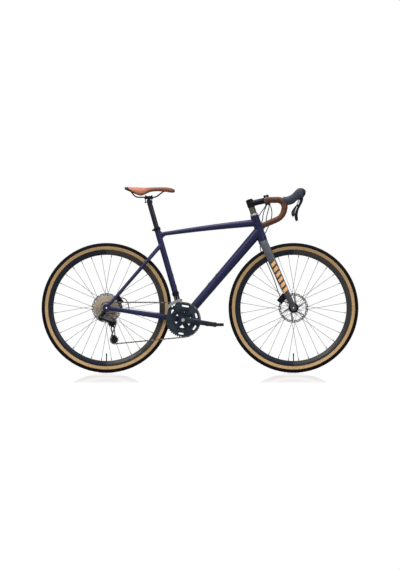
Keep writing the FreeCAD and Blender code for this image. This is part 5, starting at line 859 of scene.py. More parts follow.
def use_tree(piece, tree, **values):
    """Add a tree to a piece and set its inputs by their identifiers."""
    modifier = piece.modifiers.new(tree.name, "NODES")
    modifier.node_group = tree
    for item in tree.interface.items_tree:
        if item.in_out == "INPUT" and item.name in values:
            modifier[item.identifier] = values[item.name]


def painted(tree, geometry, material):
    node = put(tree, "GeometryNodeSetMaterial", {"Geometry": geometry, "Material": material})
    return node.outputs["Geometry"]


@kept
def knob_row_tree():
    """One row of tread knobs round an axle."""
    tree, given, made = new_tree("knob_row", [
        ("Count", "NodeSocketInt"), ("Radius", FLOAT), ("Across", FLOAT), ("Phase", FLOAT), ("Lean", FLOAT),
        ("Foot", FLOAT), ("Top", FLOAT), ("Height", FLOAT), ("Stretch", FLOAT), ("Centre", VECTOR),
        ("Material", MATERIAL)])
    knob = put(tree, "GeometryNodeMeshCone", {
        "Vertices": 4, "Radius Top": given["Top"], "Radius Bottom": given["Foot"], "Depth": given["Height"]})
    stretch = put(tree, "ShaderNodeCombineXYZ", {"X": given["Stretch"], "Y": 1.0, "Z": 1.0})
    lean = put(tree, "ShaderNodeCombineXYZ", {"X": given["Lean"], "Y": 0.0, "Z": 0.0})
    out = put(tree, "ShaderNodeCombineXYZ", {"X": 0.0, "Y": given["Across"], "Z": given["Radius"]})
    seated = put(tree, "GeometryNodeTransform", {
        "Geometry": knob.outputs["Mesh"], "Translation": out.outputs["Vector"],
        "Rotation": lean.outputs["Vector"], "Scale": stretch.outputs["Vector"]})
    spots = put(tree, "GeometryNodePoints", {"Count": given["Count"]})
    index = put(tree, "GeometryNodeInputIndex").outputs["Index"]
    step = calc(tree, "DIVIDE", calc(tree, "ADD", index, given["Phase"]), given["Count"])
    turn = put(tree, "ShaderNodeCombineXYZ", {"Y": calc(tree, "MULTIPLY", step, 2 * math.pi)})
    row = put(tree, "GeometryNodeInstanceOnPoints", {
        "Points": spots.outputs[0], "Instance": seated.outputs["Geometry"],
        "Rotation": turn.outputs["Vector"]})
    real = put(tree, "GeometryNodeRealizeInstances", {"Geometry": row.outputs["Instances"]})
    placed = put(tree, "GeometryNodeTransform", {
        "Geometry": real.outputs["Geometry"], "Translation": given["Centre"]})
    joined = put(tree, "GeometryNodeJoinGeometry", {"Geometry": given["Geometry"]})
    tree.links.new(painted(tree, placed.outputs["Geometry"], given["Material"]), joined.inputs["Geometry"])
    tree.links.new(joined.outputs["Geometry"], made["Geometry"])
    return tree


@kept
def stitch_tree():
    """Short stitches laid end to end along a line."""
    tree, given, made = new_tree("stitch_row", [
        ("Pitch", FLOAT), ("Length", FLOAT), ("Thickness", FLOAT), ("Material", MATERIAL)])
    line = put(tree, "GeometryNodeMeshToCurve", {"Mesh": given["Geometry"]})
    spots = put(tree, "GeometryNodeCurveToPoints", {
        "Curve": line.outputs["Curve"], "Length": given["Pitch"]}, mode="LENGTH")
    bead = put(tree, "GeometryNodeMeshIcoSphere", {"Radius": 0.5, "Subdivisions": 1})
    shape = put(tree, "ShaderNodeCombineXYZ", {
        "X": given["Thickness"], "Y": given["Thickness"], "Z": given["Length"]})
    stitch = put(tree, "GeometryNodeTransform", {
        "Geometry": bead.outputs["Mesh"], "Scale": shape.outputs["Vector"]})
    row = put(tree, "GeometryNodeInstanceOnPoints", {
        "Points": spots.outputs["Points"], "Instance": stitch.outputs["Geometry"],
        "Rotation": spots.outputs["Rotation"]})
    real = put(tree, "GeometryNodeRealizeInstances", {"Geometry": row.outputs["Instances"]})
    tree.links.new(painted(tree, real.outputs["Geometry"], given["Material"]), made["Geometry"])
    return tree


@kept
def bead_tree():
    """A round bead along a line."""
    tree, given, made = new_tree("edge_bead", [("Radius", FLOAT), ("Material", MATERIAL)])
    line = put(tree, "GeometryNodeMeshToCurve", {"Mesh": given["Geometry"]})
    circle = put(tree, "GeometryNodeCurvePrimitiveCircle", {"Resolution": 10, "Radius": given["Radius"]})
    bead = put(tree, "GeometryNodeCurveToMesh", {
        "Curve": line.outputs["Curve"], "Profile Curve": circle.outputs["Curve"], "Fill Caps": True})
    soft = put(tree, "GeometryNodeSetShadeSmooth", {"Geometry": bead.outputs["Mesh"]})
    real = put(tree, "GeometryNodeRealizeInstances", {"Geometry": soft.outputs["Geometry"]})
    tree.links.new(painted(tree, real.outputs["Geometry"], given["Material"]), made["Geometry"])
    return tree


def line_piece(name, lines):
    """Open lines of points as one mesh of edges, for a tree to follow."""
    points = []
    edges = []
    for line in lines:
        start = len(points)
        points.extend(line)
        edges.extend((start + step, start + step + 1) for step in range(len(line) - 1))
    mesh = bpy.data.meshes.new(name)
    mesh.from_pydata(points, edges, [])
    return new_piece(name, mesh)


# Frame and fork

class BIKE_OT_frame_and_fork(bpy.types.Operator):
    """Paint the two triangles, the fork and the fittings in them"""

    bl_idname = "bike.frame_and_fork"
    bl_label = "Frame and fork"

    def execute(self, context):
        for name in ("front_triangle", "rear_triangle"):
            dress(name, frame_paint())
        dress("fork", fork_paint())
        dress("bottle_bosses", metal("boss_metal", "chain_metal", 0.35))
        dress("headset_bearings", metal("bearing_metal", "bright_metal", 0.3))
        dress("headset_spacers", spacer_finish())
        dress("bottom_bracket_cups", anodised("cup_black", 0.9, 0.42))
        dress("seat_clamp", anodised("collar_black", 1.0, 0.38))
        return {"FINISHED"}


# Wheels

# Steps round the tyre, and steps of its profile on each side that are tan wall
TYRE_SEGMENTS = 192
WALL_STEPS = 9
KNOB_HEIGHT = 0.0030

# Places across the tyre and distances from its axle: from inside the rim, over its edge, up to the wall
TYRE_FOOT = (
    (-0.0098, 0.3140), (-0.0100, 0.3169), (-0.0128, 0.3169), (-0.0128, 0.3137), (-0.0133, 0.3131),
    (-0.0138, 0.3139), (-0.0143, 0.3170), (-0.0156, 0.3205),
)
# Shares of the half width and distances from the axle
TYRE_WALL = ((0.94, 0.3255), (1.0, 0.3305), (0.975, 0.3340), (0.93, 0.3368), (0.86, 0.3398))
# Shares of the half width and drops below the top of the casing
TYRE_CROWN = ((0.76, 0.0047), (0.62, 0.0025), (0.42, 0.0010), (0.2, 0.0002))
TYRE_INSIDE = [(0.0090, 0.3145), (0.0152, 0.3305), (0.0095, 0.3420), (0.0, 0.3440)]

# For each row of knobs: place across, shift in knobs, drop below the crown, stretch, and lean in radians
KNOB_ROWS = (
    (0.0, 0.0, 0.0, 1.0, 0.0), (0.0056, 0.5, 0.0006, 1.0, 0.06), (0.0108, 0.0, 0.0019, 1.05, 0.30),
    (0.0152, 0.5, 0.0052, 1.15, 0.72),
)


class BIKE_OT_wheels(bpy.types.Operator):
    """Build the treaded tyres and finish rims, spokes, hubs and rotors"""

    bl_idname = "bike.wheels"
    bl_label = "Wheels"

    def execute(self, context):
        for end, centre in AXLES.items():
            self.tyre(end, centre)
            dress(end + "_rim", rim_finish(end))
            dress(end + "_spokes", moulded("spoke_black", "spoke_metal", 1.0, 0.35))
            dress(end + "_hub", anodised("hub_black", 1.0, 0.36))
            dress(end + "_rotor", ringed_metal(end + "_rotor_steel", "bright_metal", 0.32, end, 0.85))
        dress("front_thru_axle", anodised("axle_black", 1.5, 0.34))
        dress("rear_thru_axle", metal("axle_silver", "bright_metal", 0.3))
        return {"FINISHED"}

    def tyre(self, end, centre):
        low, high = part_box(end + "_tyre")
        crown = (high.z - low.z) / 2
        half = (high.y - low.y) / 2
        casing = crown - sizes().casing_drop
        outside = list(TYRE_FOOT)
        outside += [(-half * share, radius) for share, radius in TYRE_WALL]
        outside += [(-half * share, casing - drop) for share, drop in TYRE_CROWN]
        outside = outside + [(0.0, casing)] + [(-y, r) for y, r in reversed(outside)]
        loop = outside + TYRE_INSIDE + [(-y, r) for y, r in reversed(TYRE_INSIDE[:-1])]
        points = []
        for step in range(TYRE_SEGMENTS):
            turn = 2 * math.pi * step / TYRE_SEGMENTS
            for across, radius in loop:
                points.append(centre + Vector((radius * math.cos(turn), across, radius * math.sin(turn))))
        around = len(loop)
        faces = rings_to_faces(TYRE_SEGMENTS, around, loop=True)
        far_wall = len(outside) - 1 - WALL_STEPS
        wall = set(range(WALL_STEPS)) | set(range(far_wall, far_wall + WALL_STEPS))
        marks = [1 if index % around in wall else 0 for index in range(len(faces))]
        rubber = tread_rubber()
        mesh = mesh_of(end + "_tread_tyre", points, faces, marks=marks)
        tyre = new_piece(end + "_tread_tyre", mesh, rubber, side_wall(end))
        for across, phase, drop, stretch, lean in KNOB_ROWS:
            for side in ((1, -1) if across else (1,)):
                use_tree(tyre, knob_row_tree(), Count=sizes().knob_count, Across=side * across, Phase=phase,
                         Radius=crown - drop - KNOB_HEIGHT, Lean=-side * lean, Foot=sizes().knob_foot,
                         Top=sizes().knob_top, Height=KNOB_HEIGHT, Stretch=stretch, Centre=centre,
                         Material=rubber)
        settled(tyre)
        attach(tyre, end + "_wheel")
        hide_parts(end + "_tyre")


# Saddle

SADDLE_TAIL = -0.4055
SADDLE_LENGTH = 0.271
SADDLE_WIDTH = 0.146
SADDLE_TOP = 1.0
SADDLE_FULL_DEPTH = 24.0
SADDLE_PLACES = (0.0, 0.03, 0.09, 0.20, 0.33, 0.50, 0.64, 0.80, 0.94, 1.0)
SADDLE_HALVES = (0.70, 0.82, 0.94, 1.0, 0.88, 0.55, 0.36, 0.27, 0.23, 0.16)
SADDLE_DROPS = (2.0, 0.5, 0.0, 1.5, 3.5, 3.5, 2.0, 2.5, 8.0, 17.0)
SADDLE_SKIRTS = (13, 16, 23, 36, 46, 28, 23, 26, 31, 29)
PAD_STATIONS = 44
PAD_TURNS = 32
SIDE_INSET = 0.45
EDGE_STEPS = 60
EDGE_REACH = (0.01, 0.98)
BINDING_RADIUS = 0.0014
SEAM_STEPS = 50
SEAM_REACH = (0.05, 0.85)
STITCH_LENGTH = 0.0036
STITCH_THICKNESS = 0.0006
SEAM_SINK = Vector((0, 0, 0.0001))
SEAM_TURNS = (0.30, 0.70)
CHANNEL_DEPTH = 0.0016
CHANNEL_WIDTH = 0.0075
CHANNEL_START = 0.05
CHANNEL_END = 0.95
ARCH_ACROSS = (-1.0, -0.97, -0.72, -0.30, 0.30, 0.72, 0.97, 1.0)
ARCH_UP = (0.0, 0.5, 0.88, 0.985, 0.985, 0.88, 0.5, 0.0)
ARCH_PLACES = (0.0, 0.16, 0.32, 0.44, 0.56, 0.68, 0.84, 1.0)


def saddle_point(share, turn, inset):
    """A point of the saddle's outside, or as far under it as inset says."""
    drop = smooth_between(SADDLE_DROPS, SADDLE_PLACES, share)
    skirt = smooth_between(SADDLE_SKIRTS, SADDLE_PLACES, share)
    depth = inset * min(1.0, (skirt - drop) / SADDLE_FULL_DEPTH)
    half = smooth_between(SADDLE_HALVES, SADDLE_PLACES, share) * SADDLE_WIDTH / 2 - depth * SIDE_INSET
    high = SADDLE_TOP - drop * MM - depth
    low = SADDLE_TOP - skirt * MM
    across = smooth_between(ARCH_ACROSS, ARCH_PLACES, turn) * half
    up = low + (high - low) * smooth_between(ARCH_UP, ARCH_PLACES, turn)
    if inset == 0.0 and CHANNEL_START < share < CHANNEL_END:
        hollow = math.sin(math.pi * (share - CHANNEL_START) / (CHANNEL_END - CHANNEL_START)) ** 2
        up -= CHANNEL_DEPTH * hollow * math.exp(-(across / CHANNEL_WIDTH) ** 2)
    return Vector((SADDLE_TAIL + SADDLE_LENGTH * share, across, up))


def saddle_line(start, length, steps, turn):
    """A line along the saddle's outside."""
    return [saddle_point(start + length * step / steps, turn, 0.0) for step in range(steps + 1)]


class BIKE_OT_saddle(bpy.types.Operator):
    """Build the padded saddle with its stitching and finish the post under it"""

    bl_idname = "bike.saddle"
    bl_label = "Saddle"

    def execute(self, context):
        self.cover()
        self.trim()
        dress("saddle_base", moulded("saddle_base_plastic", "plastic", 1.0, 0.45))
        dress("saddle_rails", anodised("rail_black", 0.8, 0.3))
        dress("saddle_clamp", anodised("clamp_black", 1.1, 0.4))
        dress("seatpost", anodised("post_black", 3.0, 0.34))
        return {"FINISHED"}

    def cover(self):
        stations = [step / PAD_STATIONS for step in range(PAD_STATIONS + 1)]
        turns = [step / PAD_TURNS for step in range(PAD_TURNS + 1)]
        points = []
        for share in stations:
            points.extend(saddle_point(share, turn, 0.0) for turn in turns)
            points.extend(saddle_point(share, turn, sizes().saddle_pad) for turn in reversed(turns))
        around = 2 * len(turns)
        mesh = mesh_of("saddle_pad", points, rings_to_faces(len(stations), around))
        cover = new_piece("saddle_pad", mesh, saddle_leather())
        soft = cover.modifiers.new("soft", "SUBSURF")
        soft.levels = 1
        soft.render_levels = 1
        settled(cover)
        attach(cover, "saddle")
        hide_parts("saddle_cover")

    def trim(self):
        edges = [saddle_line(*EDGE_REACH, EDGE_STEPS, side) for side in (0.0, 1.0)]
        bead = line_piece("saddle_edge_binding", edges)
        use_tree(bead, bead_tree(), Radius=BINDING_RADIUS,
                 Material=moulded("binding_black", "plastic", 1.0, 0.5))
        settled(bead)
        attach(bead, "saddle")
        seams = [[point - SEAM_SINK for point in saddle_line(*SEAM_REACH, SEAM_STEPS, turn)]
                 for turn in SEAM_TURNS]
        seam = line_piece("saddle_stitches", seams)
        use_tree(seam, stitch_tree(), Pitch=sizes().stitch_pitch, Length=STITCH_LENGTH,
                 Thickness=STITCH_THICKNESS, Material=saddle_thread())
        settled(seam)
        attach(seam, "saddle")


# Handlebar

TAPE_START = 0.074
TAPE_STEP = 0.0012
TAPE_AROUND = 36
# The share of a turn in which the tape's lap rises, and the share of its height that it then falls
LAP_RISE = 0.10
LAP_FALL = 0.85
BAR_DROP = 0.137

# Places from the middle of the bar: the tape's start, the corners of the straight runs, and the bar's end
BAR_CORNERS = (
    (0, TAPE_START, 0), (0, 0.190, 0), (0.105, 0.210, 0.002), (0.085, 0.223, -BAR_DROP * 0.67),
    (-0.022, 0.240, -BAR_DROP),
)
# The radius of the bend at each corner
BAR_BENDS = (0.048, 0.040, 0.070)


def bar_line(side):
    """The middle of the bar under its tape: straight runs and rounded corners."""
    corners = [BAR_CENTRE + Vector(corner) for corner in BAR_CORNERS]
    points = [corners[0]]
    for before, corner, after, bend in zip(corners, corners[1:], corners[2:], BAR_BENDS):
        back = (before - corner).normalized()
        on = (after - corner).normalized()
        half = back.angle(on) / 2
        run = bend / math.tan(half)
        start_at = corner + back * run
        end_at = corner + on * run
        middle = corner + (back + on).normalized() * (bend / math.sin(half))
        steps = max(4, int(bend * (math.pi - 2 * half) / TAPE_STEP))
        for count in range(steps + 1):
            first = (start_at - middle).normalized()
            second = (end_at - middle).normalized()
            points.append(middle + first.slerp(second, count / steps) * bend)
    points.append(corners[-1])
    even = []
    for first, second in zip(points, points[1:]):
        pieces = max(1, round((second - first).length / TAPE_STEP))
        even.extend(first.lerp(second, count / pieces) for count in range(pieces))
    even.append(points[-1])
    return [Vector((point.x, side * point.y, point.z)) for point in even]


class BIKE_OT_handlebar(bpy.types.Operator):
    """Wind the tape and finish the bar, stem, hoods and levers"""

    bl_idname = "bike.handlebar"
    bl_label = "Handlebar"

    def execute(self, context):
        for side, name in ((1, "left"), (-1, "right")):
            self.tape(side, name)
            dress(name + "_brake_lever", anodised("lever_black", 1.3, 0.34))
            dress(name + "_shift_paddle", moulded("paddle_plastic", "hood_rubber", 0.62, 0.4))
        dress("handlebar", anodised("bar_black", 1.0, 0.4))
        dress("stem", anodised("stem_black", 1.0, 0.44))
        dress("stem_faceplate", anodised("faceplate_black", 0.9, 0.42))
        dress("bar_end_plugs", moulded("plug_plastic", "plastic", 1.0, 0.4))
        dress("lever_bodies", moulded("bracket_plastic", "plastic", 1.2, 0.4))
        dress("hood_covers", hood_rubber())
        return {"FINISHED"}

    def tape(self, side, name):
        line = bar_line(side)
        pitch = sizes().tape_pitch
        lap = sizes().tape_lap
        outside = sizes().tape_radius
        points = []
        laps = []
        travelled = 0.0
        previous = line[0]
        for point, _, normal, other in frames_along(line):
            travelled += (point - previous).length
            previous = point
            for step in range(TAPE_AROUND):
                turn = 2 * math.pi * step / TAPE_AROUND
                phase = (travelled / pitch + side * step / TAPE_AROUND) % 1.0
                if phase < LAP_RISE:
                    rise = phase / LAP_RISE
                else:
                    rise = 1.0 - LAP_FALL * (phase - LAP_RISE) / (1.0 - LAP_RISE)
                radius = outside - lap + lap * rise
                points.append(point + (normal * math.cos(turn) + other * math.sin(turn)) * radius)
                laps.append(rise)
        faces = rings_to_faces(len(line), TAPE_AROUND, closed_ends=False)
        mesh = mesh_of(name + "_wound_tape", points, faces)
        shape = bmesh.new()
        shape.from_mesh(mesh)
        bmesh.ops.holes_fill(shape, edges=[edge for edge in shape.edges if edge.is_boundary], sides=0)
        bmesh.ops.recalc_face_normals(shape, faces=shape.faces)
        shape.to_mesh(mesh)
        shape.free()
        attribute = mesh.attributes.new("lap", "FLOAT", "POINT")
        attribute.data.foreach_set("value", laps)
        piece = new_piece(name + "_wound_tape", mesh, tape_leather())
        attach(piece, "steering")
        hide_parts("bar_tape")


# Cranks, chain and changers

PULLEY_REACH = 0.025
SPROCKET_REACH = 0.0315
RING_REACH = 0.0945
SLACK_LENGTH = 0.13

# For each run of chain that moves with a body: the body that carries it; the other runs stay where they are
CHAIN_RIDES = {"chain_main_run": "frame", "chain_on_pulleys": "rear_cage"}


def middle_of(node_name):
    """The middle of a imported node's box."""
    low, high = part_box(node_name)
    return (low + high) / 2


def side_distance(point, first, second):
    """How far a point is from the line between two others, seen from the side."""
    flat, start, stop = (Vector((place.x, place.z)) for place in (point, first, second))
    way = stop - start
    share = 0.0
    if way.length > 0:
        share = min(max((flat - start).dot(way) / way.length_squared, 0.0), 1.0)
    return (flat - start - way * share).length


def link_numbers(mesh):
    """For each vertex of the chain, a number that all the vertices of its link share."""
    owner = list(range(len(mesh.vertices)))

    def root(index):
        while owner[index] != index:
            owner[index] = owner[owner[index]]
            index = owner[index]
        return index

    first_at = {}
    for vertex in mesh.vertices:
        place = tuple(round(value, 6) for value in vertex.co)
        owner[root(vertex.index)] = root(first_at.setdefault(place, vertex.index))
    for edge in mesh.edges:
        first, second = edge.vertices
        owner[root(first)] = root(second)
    return [root(index) for index in range(len(owner))]


def link_middles(mesh, numbers):
    """The middle of each link's box, by its number."""
    corners = {}
    for vertex, number in zip(mesh.vertices, numbers):
        corners.setdefault(number, []).append(vertex.co)
    middles = {}
    for number, points in corners.items():
        low = Vector([min(point[axis] for point in points) for axis in range(3)])
        high = Vector([max(point[axis] for point in points) for axis in range(3)])
        middles[number] = (low + high) / 2
    return middles


class BIKE_OT_drive(bpy.types.Operator):
    """Finish cranks, rings, chain, cassette, pedals and both changers"""

    bl_idname = "bike.drive"
    bl_label = "Drive"

    def execute(self, context):
        dress("right_crank_arm", crank_finish("arm_finish", 0.75))
        dress("left_crank_arm", crank_finish("arm_finish", 0.75))
        dress("chainrings", crank_finish("ring_finish", 1.0))
        dress("pedal_spindles", metal("spindle_steel", "bright_metal", 0.34))
        for name in ("left_pedal", "right_pedal"):
            dress(name, moulded("pedal_plastic", "plastic", 1.3, 0.5))
        dress("cassette", ringed_metal("cassette_nickel", "sprocket_metal", 0.36, "rear", 0.2))
        dress("chain", chain_finish())
        self.chain()
        for name in ("rear_derailleur_body", "rear_derailleur_inner_link", "rear_derailleur_knuckle"):
            dress(name, anodised("changer_black", 1.2, 0.38))
        dress("rear_derailleur_outer_link", anodised("changer_grey", 2.4, 0.32))
        dress("rear_derailleur_cage", anodised("cage_black", 1.2, 0.36))
        for name in ("guide_pulley", "tension_pulley"):
            dress(name, moulded("pulley_plastic", "plastic", 1.2, 0.45))
        dress("front_derailleur_body", anodised("front_changer_black", 1.1, 0.4))
        dress("front_derailleur_link", anodised("front_link_black", 1.4, 0.36))
        dress("front_derailleur_cage", metal("front_cage_steel", "bright_metal", 0.42))
        return {"FINISHED"}

    def chain(self):
        """Part the chain into runs; the run on the pulleys rides with the rear cage, the main run with the
        frame, and the rest stay where they are.
        """
        whole = NODES["chain"].data
        numbers = link_numbers(whole)
        middles = link_middles(whole, numbers)
        guide, tension, rings = (
            middle_of(name) for name in ("guide_pulley", "tension_pulley", "chainrings"))

        def run_of(link):
            if side_distance(link, guide, tension) < PULLEY_REACH:
                return "chain_on_pulleys"
            behind = link.x < tension.x and link.z < REAR_AXLE.z
            if behind and side_distance(link, REAR_AXLE, REAR_AXLE) > SPROCKET_REACH:
                return "chain_to_guide"
            if link.x > tension.x and link.z < rings.z and side_distance(link, rings, rings) > RING_REACH:
                return "chain_slack_run" if link.x < tension.x + SLACK_LENGTH else "chain_lower_run"
            return "chain_main_run"

        runs = {number: run_of(link) for number, link in middles.items()}
        for name in sorted(set(runs.values())):
            mesh = whole.copy()
            mesh.name = name
            form = bmesh.new()
            form.from_mesh(mesh)
            others = [vertex for vertex in form.verts if runs[numbers[vertex.index]] != name]
            bmesh.ops.delete(form, geom=others, context="VERTS")
            form.to_mesh(mesh)
            form.free()
            piece = new_piece(name, mesh)
            if name in CHAIN_RIDES:
                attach(piece, CHAIN_RIDES[name])
            else:
                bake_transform(piece)
            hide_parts("chain")


# Brakes and cables

DOWN_TUBE_JOIN = 0.057
PORT_RUNS = (0.062, 0.084, 0.106)
DOWN_FRONT = HEAD_FOOT + STEER_UP * DOWN_TUBE_JOIN
DOWN_ALONG = (DOWN_FRONT - CRANK_AXLE).normalized()
PORT_HIGH, PORT_MIDDLE, PORT_LOW = (DOWN_FRONT - DOWN_ALONG * run for run in PORT_RUNS)
HANGER_BOLT = REAR_AXLE + Vector((-0.014, 0.0, -0.030))


def beside(point, ahead, across, up):
    """A point so many millimetres from another."""
    return point + Vector((ahead, across, up)) * MM


def below_head(down, ahead, across):
    """A point so many millimetres down the fork, ahead of its steerer and across."""
    return HEAD_FOOT + (STEER_FORWARD * ahead - STEER_UP * down + Vector((0, across, 0))) * MM


GEAR_ROUTE = [
    beside(BAR_CENTRE, 3, -73.8, -14.5), beside(BAR_CENTRE, 1, -50, -24), beside(HEAD_TOP, 46, -24, 12),
    beside(HEAD_TOP, 44, 12, -30), beside(HEAD_TOP, 16, 36, -72), beside(PORT_MIDDLE, 6, 30, 10),
    PORT_MIDDLE,
]
CHANGER_ROUTE = [
    beside(BAR_CENTRE, 3, 73.8, -14.5), beside(BAR_CENTRE, 1, 50, -24), beside(HEAD_TOP, 28, 34, 8),
    beside(HEAD_TOP, 6, 31, -46), beside(PORT_HIGH, 3, 26, 6), PORT_HIGH,
]
REAR_HOSE_ROUTE = [
    beside(BAR_CENTRE, 11, -73.8, -10), beside(BAR_CENTRE, 16, -54, -26), beside(HEAD_TOP, 64, -34, -6),
    beside(HEAD_TOP, 62, 14, -52), beside(HEAD_TOP, 34, 40, -98), beside(PORT_LOW, 10, 32, 14), PORT_LOW,
]
GEAR_TAIL_ROUTE = [
    beside(REAR_AXLE, 62, -72.5, -11), beside(REAR_AXLE, 50, -89, -26), beside(REAR_AXLE, 17, -91, -29),
    beside(HANGER_BOLT, 4, -88, 0.5),
]
HOSE_TAIL_ROUTE = [
    beside(REAR_AXLE, 122, 64.5, -18), beside(REAR_AXLE, 117, 63, 24), beside(REAR_AXLE, 98, 59, 54),
    beside(REAR_AXLE, 76, 57, 53),
]
FRONT_HOSE_ROUTE = [
    beside(BAR_CENTRE, 9, 73.8, -12), beside(BAR_CENTRE, 26, 54, -34), beside(BAR_CENTRE, 30, 44, -95),
    beside(HEAD_TOP, 66, 40, -80), below_head(24, -34, 45), below_head(112, -16, 45),
    below_head(222, -7, 50), beside(FRONT_AXLE, -84, 46, 92), beside(FRONT_AXLE, -70, 42, 56),
]


class BIKE_OT_brakes_and_cables(bpy.types.Operator):
    """Finish the calipers and lay the housings and hoses"""

    bl_idname = "bike.brakes_and_cables"
    bl_label = "Brakes and cables"

    def execute(self, context):
        for end in ("front", "rear"):
            dress(end + "_brake_caliper", anodised("caliper_black", 1.1, 0.4))
            dress(end + "_brake_pad", metal("pad_metal", "chain_metal", 0.6))
        for name, route in (("right_gear_cable", GEAR_ROUTE), ("left_gear_cable", CHANGER_ROUTE),
                            ("rear_brake_hose", REAR_HOSE_ROUTE)):
            self.cable(name, route, "frame_cables", "steering")
        for name, route in (("gear_cable_tail", GEAR_TAIL_ROUTE), ("brake_hose_tail", HOSE_TAIL_ROUTE)):
            self.cable(name, route, "frame_cables", None)
        self.cable("front_hose", FRONT_HOSE_ROUTE, "front_brake_hose", None)
        return {"FINISHED"}

    def cable(self, name, route, node, bends_with):
        """A housing along its route; one given a far body stays where it is laid, and the others move with the
        steering or the frame.
        """
        line = spline_line(route)
        radius = sizes().cable_radius
        piece = new_piece(name, tube_mesh(name, line, radius), housing())
        if bends_with:
            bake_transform(piece)
        else:
            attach(piece, "steering" if node == "front_brake_hose" else "frame")
        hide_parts(node)


# Stage

FLOOR_REACH = 80.0
BACKDROP_AT = 60.0
BACKDROP_BEND = 6.0
BACKDROP_STEPS = 12
BACKDROP_TOP = 40.0
LOW_WALL = 2.0
WHITE = (1.0, 1.0, 1.0, 1.0)
LAMP_AIM = Vector((0.0, 0.0, 0.5))
SENSOR_WIDTH = 36.0
VIEW_END = 200.0

# Each lamp's name, place, size across and power
LAMPS = (
    ("key", (-2.6, -4.2, 4.6), 2.6, 150.0), ("fill", (3.4, -4.6, 2.6), 2.6, 60.0),
    ("top", (0.2, -0.4, 4.6), 2.4, 150.0), ("back", (-1.0, 4.2, 3.4), 3.0, 50.0),
)


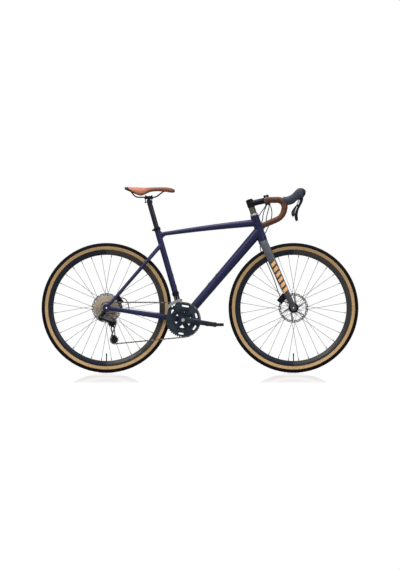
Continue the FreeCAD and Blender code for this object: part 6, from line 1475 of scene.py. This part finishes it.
class BIKE_OT_stage(bpy.types.Operator):
    """Set the floor, the lights and the camera"""

    bl_idname = "bike.stage"
    bl_label = "Stage"

    def execute(self, context):
        self.floor(context)
        self.lights(context)
        self.camera(context)
        return {"FINISHED"}

    def floor(self, context):
        """A pale floor with a backdrop far behind and low far walls."""
        profile = [(-FLOOR_REACH, LOW_WALL), (-FLOOR_REACH, 0.0), (BACKDROP_AT, 0.0)]
        for step in range(1, BACKDROP_STEPS + 1):
            turn = math.pi / 2 * step / BACKDROP_STEPS
            profile.append((BACKDROP_AT + BACKDROP_BEND * math.sin(turn),
                            BACKDROP_BEND - BACKDROP_BEND * math.cos(turn)))
        profile.append((BACKDROP_AT + BACKDROP_BEND, BACKDROP_TOP))
        points = [Vector((x, y, z)) for y, z in profile for x in (-FLOOR_REACH, FLOOR_REACH)]
        faces = [(2 * step, 2 * step + 1, 2 * step + 3, 2 * step + 2) for step in range(len(profile) - 1)]
        ends = ((-FLOOR_REACH, 0.0), (BACKDROP_AT, 0.0), (BACKDROP_AT, LOW_WALL), (-FLOOR_REACH, LOW_WALL))
        for x in (-FLOOR_REACH, FLOOR_REACH):
            first = len(points)
            points += [Vector((x, y, z)) for y, z in ends]
            faces.append((first, first + 1, first + 2, first + 3))
        mesh = bpy.data.meshes.new("floor")
        mesh.from_pydata(points, [], faces)
        floor = new_piece("floor", mesh, self.floor_finish(context.scene.bike_stage))

    def floor_finish(self, stage):
        """Pale, white to the camera away from the bike, and faintly mirroring by the wheels."""
        material = bpy.data.materials.new("pale_floor")
        material.use_nodes = True
        tree = material.node_tree
        tree.nodes.clear()
        light = put(tree, "ShaderNodeLightPath").outputs
        pale = stage.floor_colour
        tone = mixed(tree, light["Is Camera Ray"], shade(pale, 0.4), pale)
        matt = put(tree, "ShaderNodeBsdfDiffuse", {"Color": tone})
        white = put(tree, "ShaderNodeEmission", {"Color": WHITE, "Strength": 1.0})
        place = put(tree, "ShaderNodeTexCoord").outputs["Object"]
        parts = put(tree, "ShaderNodeSeparateXYZ", {0: place}).outputs
        aside = calc(tree, "ABSOLUTE", parts["X"])
        away = calc(tree, "ABSOLUTE", parts["Y"])
        backdrop = calc(tree, "GREATER_THAN", parts["Z"], 0.001)
        mirrored = times(tree, backdrop, light["Is Glossy Ray"])
        seen = calc(tree, "MAXIMUM", light["Is Camera Ray"],
                    calc(tree, "MAXIMUM", mirrored, light["Is Transmission Ray"]))
        far = between(tree, away, 0.35, 1.6)
        wide = between(tree, aside, 0.75, 1.5)
        clear = calc(tree, "MAXIMUM", calc(tree, "MAXIMUM", far, wide), 0.55)
        mix = put(tree, "ShaderNodeMixShader", {
            0: times(tree, seen, clear), 1: matt.outputs["BSDF"], 2: white.outputs["Emission"]})
        reach = stage.mirror_reach
        fading = put(tree, "ShaderNodeMapRange", {
            "Value": away, "From Min": 0.0, "From Max": reach, "To Min": 0.28, "To Max": 0.14})
        grazing = put(tree, "ShaderNodeFresnel", {"IOR": 1.2}).outputs["Fac"]
        polish = times(tree, fading.outputs["Result"], calc(tree, "LESS_THAN", away, reach),
                       between(tree, aside, 1.5, 0.9), times(tree, grazing, light["Is Camera Ray"]))
        mirror = put(tree, "ShaderNodeBsdfAnisotropic", {"Color": WHITE, "Roughness": 0.0})
        shiny = put(tree, "ShaderNodeMixShader", {
            0: polish, 1: mix.outputs["Shader"], 2: mirror.outputs["BSDF"]})
        put(tree, "ShaderNodeOutputMaterial", {"Surface": shiny.outputs["Shader"]})
        return material

    def lights(self, context):
        world = bpy.data.worlds.new("studio")
        context.scene.world = world
        world.use_nodes = True
        tree = world.node_tree
        tree.nodes.clear()
        stage = context.scene.bike_stage
        way = put(tree, "ShaderNodeTexCoord").outputs["Generated"]
        up = put(tree, "ShaderNodeSeparateXYZ", {0: way}).outputs["Z"]
        room_light = put(tree, "ShaderNodeMapRange", {
            "Value": up, "From Min": 0.05, "From Max": 0.85,
            "To Min": stage.low_light, "To Max": stage.high_light}).outputs["Result"]
        light = put(tree, "ShaderNodeLightPath").outputs
        seen = calc(tree, "MAXIMUM", light["Is Camera Ray"], light["Is Transmission Ray"])
        room = put(tree, "ShaderNodeBackground", {
            "Color": WHITE, "Strength": calc(tree, "MAXIMUM", room_light, seen)})
        put(tree, "ShaderNodeOutputWorld", {"Surface": room.outputs["Background"]})
        for name, spot, size, power in LAMPS:
            lamp = bpy.data.lights.new(name, "AREA")
            lamp.shape = "DISK"
            lamp.size = size
            lamp.energy = power
            holder = bpy.data.objects.new(name, lamp)
            context.scene.collection.objects.link(holder)
            holder.location = spot
            holder.rotation_euler = (LAMP_AIM - Vector(spot)).to_track_quat("-Z", "Y").to_euler()

    def camera(self, context):
        settings = context.scene.bike_stage
        lens = bpy.data.cameras.new("camera")
        lens.lens = settings.lens
        lens.sensor_width = SENSOR_WIDTH
        half_angle = math.atan(SENSOR_WIDTH / 2 / settings.lens)
        away = settings.view_height / 2 / math.tan(half_angle)
        lens.clip_end = VIEW_END
        camera = bpy.data.objects.new("camera", lens)
        context.scene.collection.objects.link(camera)
        camera.location = (0.0, -away, settings.aim_height)
        camera.rotation_euler = (math.radians(90), 0.0, 0.0)
        context.scene.camera = camera
        context.scene.view_settings.view_transform = "Standard"


class BIKE_PT_looks(bpy.types.Panel):
    """Lists the bike's pieces and their settings"""

    bl_idname = "BIKE_PT_looks"
    bl_label = "Gravel bike"
    bl_space_type = "VIEW_3D"
    bl_region_type = "UI"
    bl_category = "Gravel bike"

    def draw(self, context):
        for operator in OPERATORS:
            self.layout.operator(operator.bl_idname)
        for group in (context.scene.bike_colours, context.scene.bike_sizes, context.scene.bike_stage):
            box = self.layout.box()
            for name in group.__class__.__annotations__:
                box.prop(group, name)


OPERATORS = (
    BIKE_OT_frame_and_fork, BIKE_OT_wheels, BIKE_OT_saddle, BIKE_OT_handlebar, BIKE_OT_drive,
    BIKE_OT_brakes_and_cables, BIKE_OT_stage,
)
SETTINGS = (("bike_colours", BikeColours), ("bike_sizes", BikeSizes), ("bike_stage", BikeStage))


def register():
    for name, group in SETTINGS:
        bpy.utils.register_class(group)
        setattr(bpy.types.Scene, name, bpy.props.PointerProperty(type=group))
    for operator in OPERATORS:
        bpy.utils.register_class(operator)
    bpy.utils.register_class(BIKE_PT_looks)


def unregister():
    bpy.utils.unregister_class(BIKE_PT_looks)
    for operator in reversed(OPERATORS):
        bpy.utils.unregister_class(operator)
    for name, group in reversed(SETTINGS):
        delattr(bpy.types.Scene, name)
        bpy.utils.unregister_class(group)


def main():
    register()
    bpy.ops.bike.frame_and_fork()
    bpy.ops.bike.wheels()
    bpy.ops.bike.saddle()
    bpy.ops.bike.handlebar()
    bpy.ops.bike.drive()
    bpy.ops.bike.brakes_and_cables()
    bpy.ops.bike.stage()


if __name__ == "__main__":
    main()
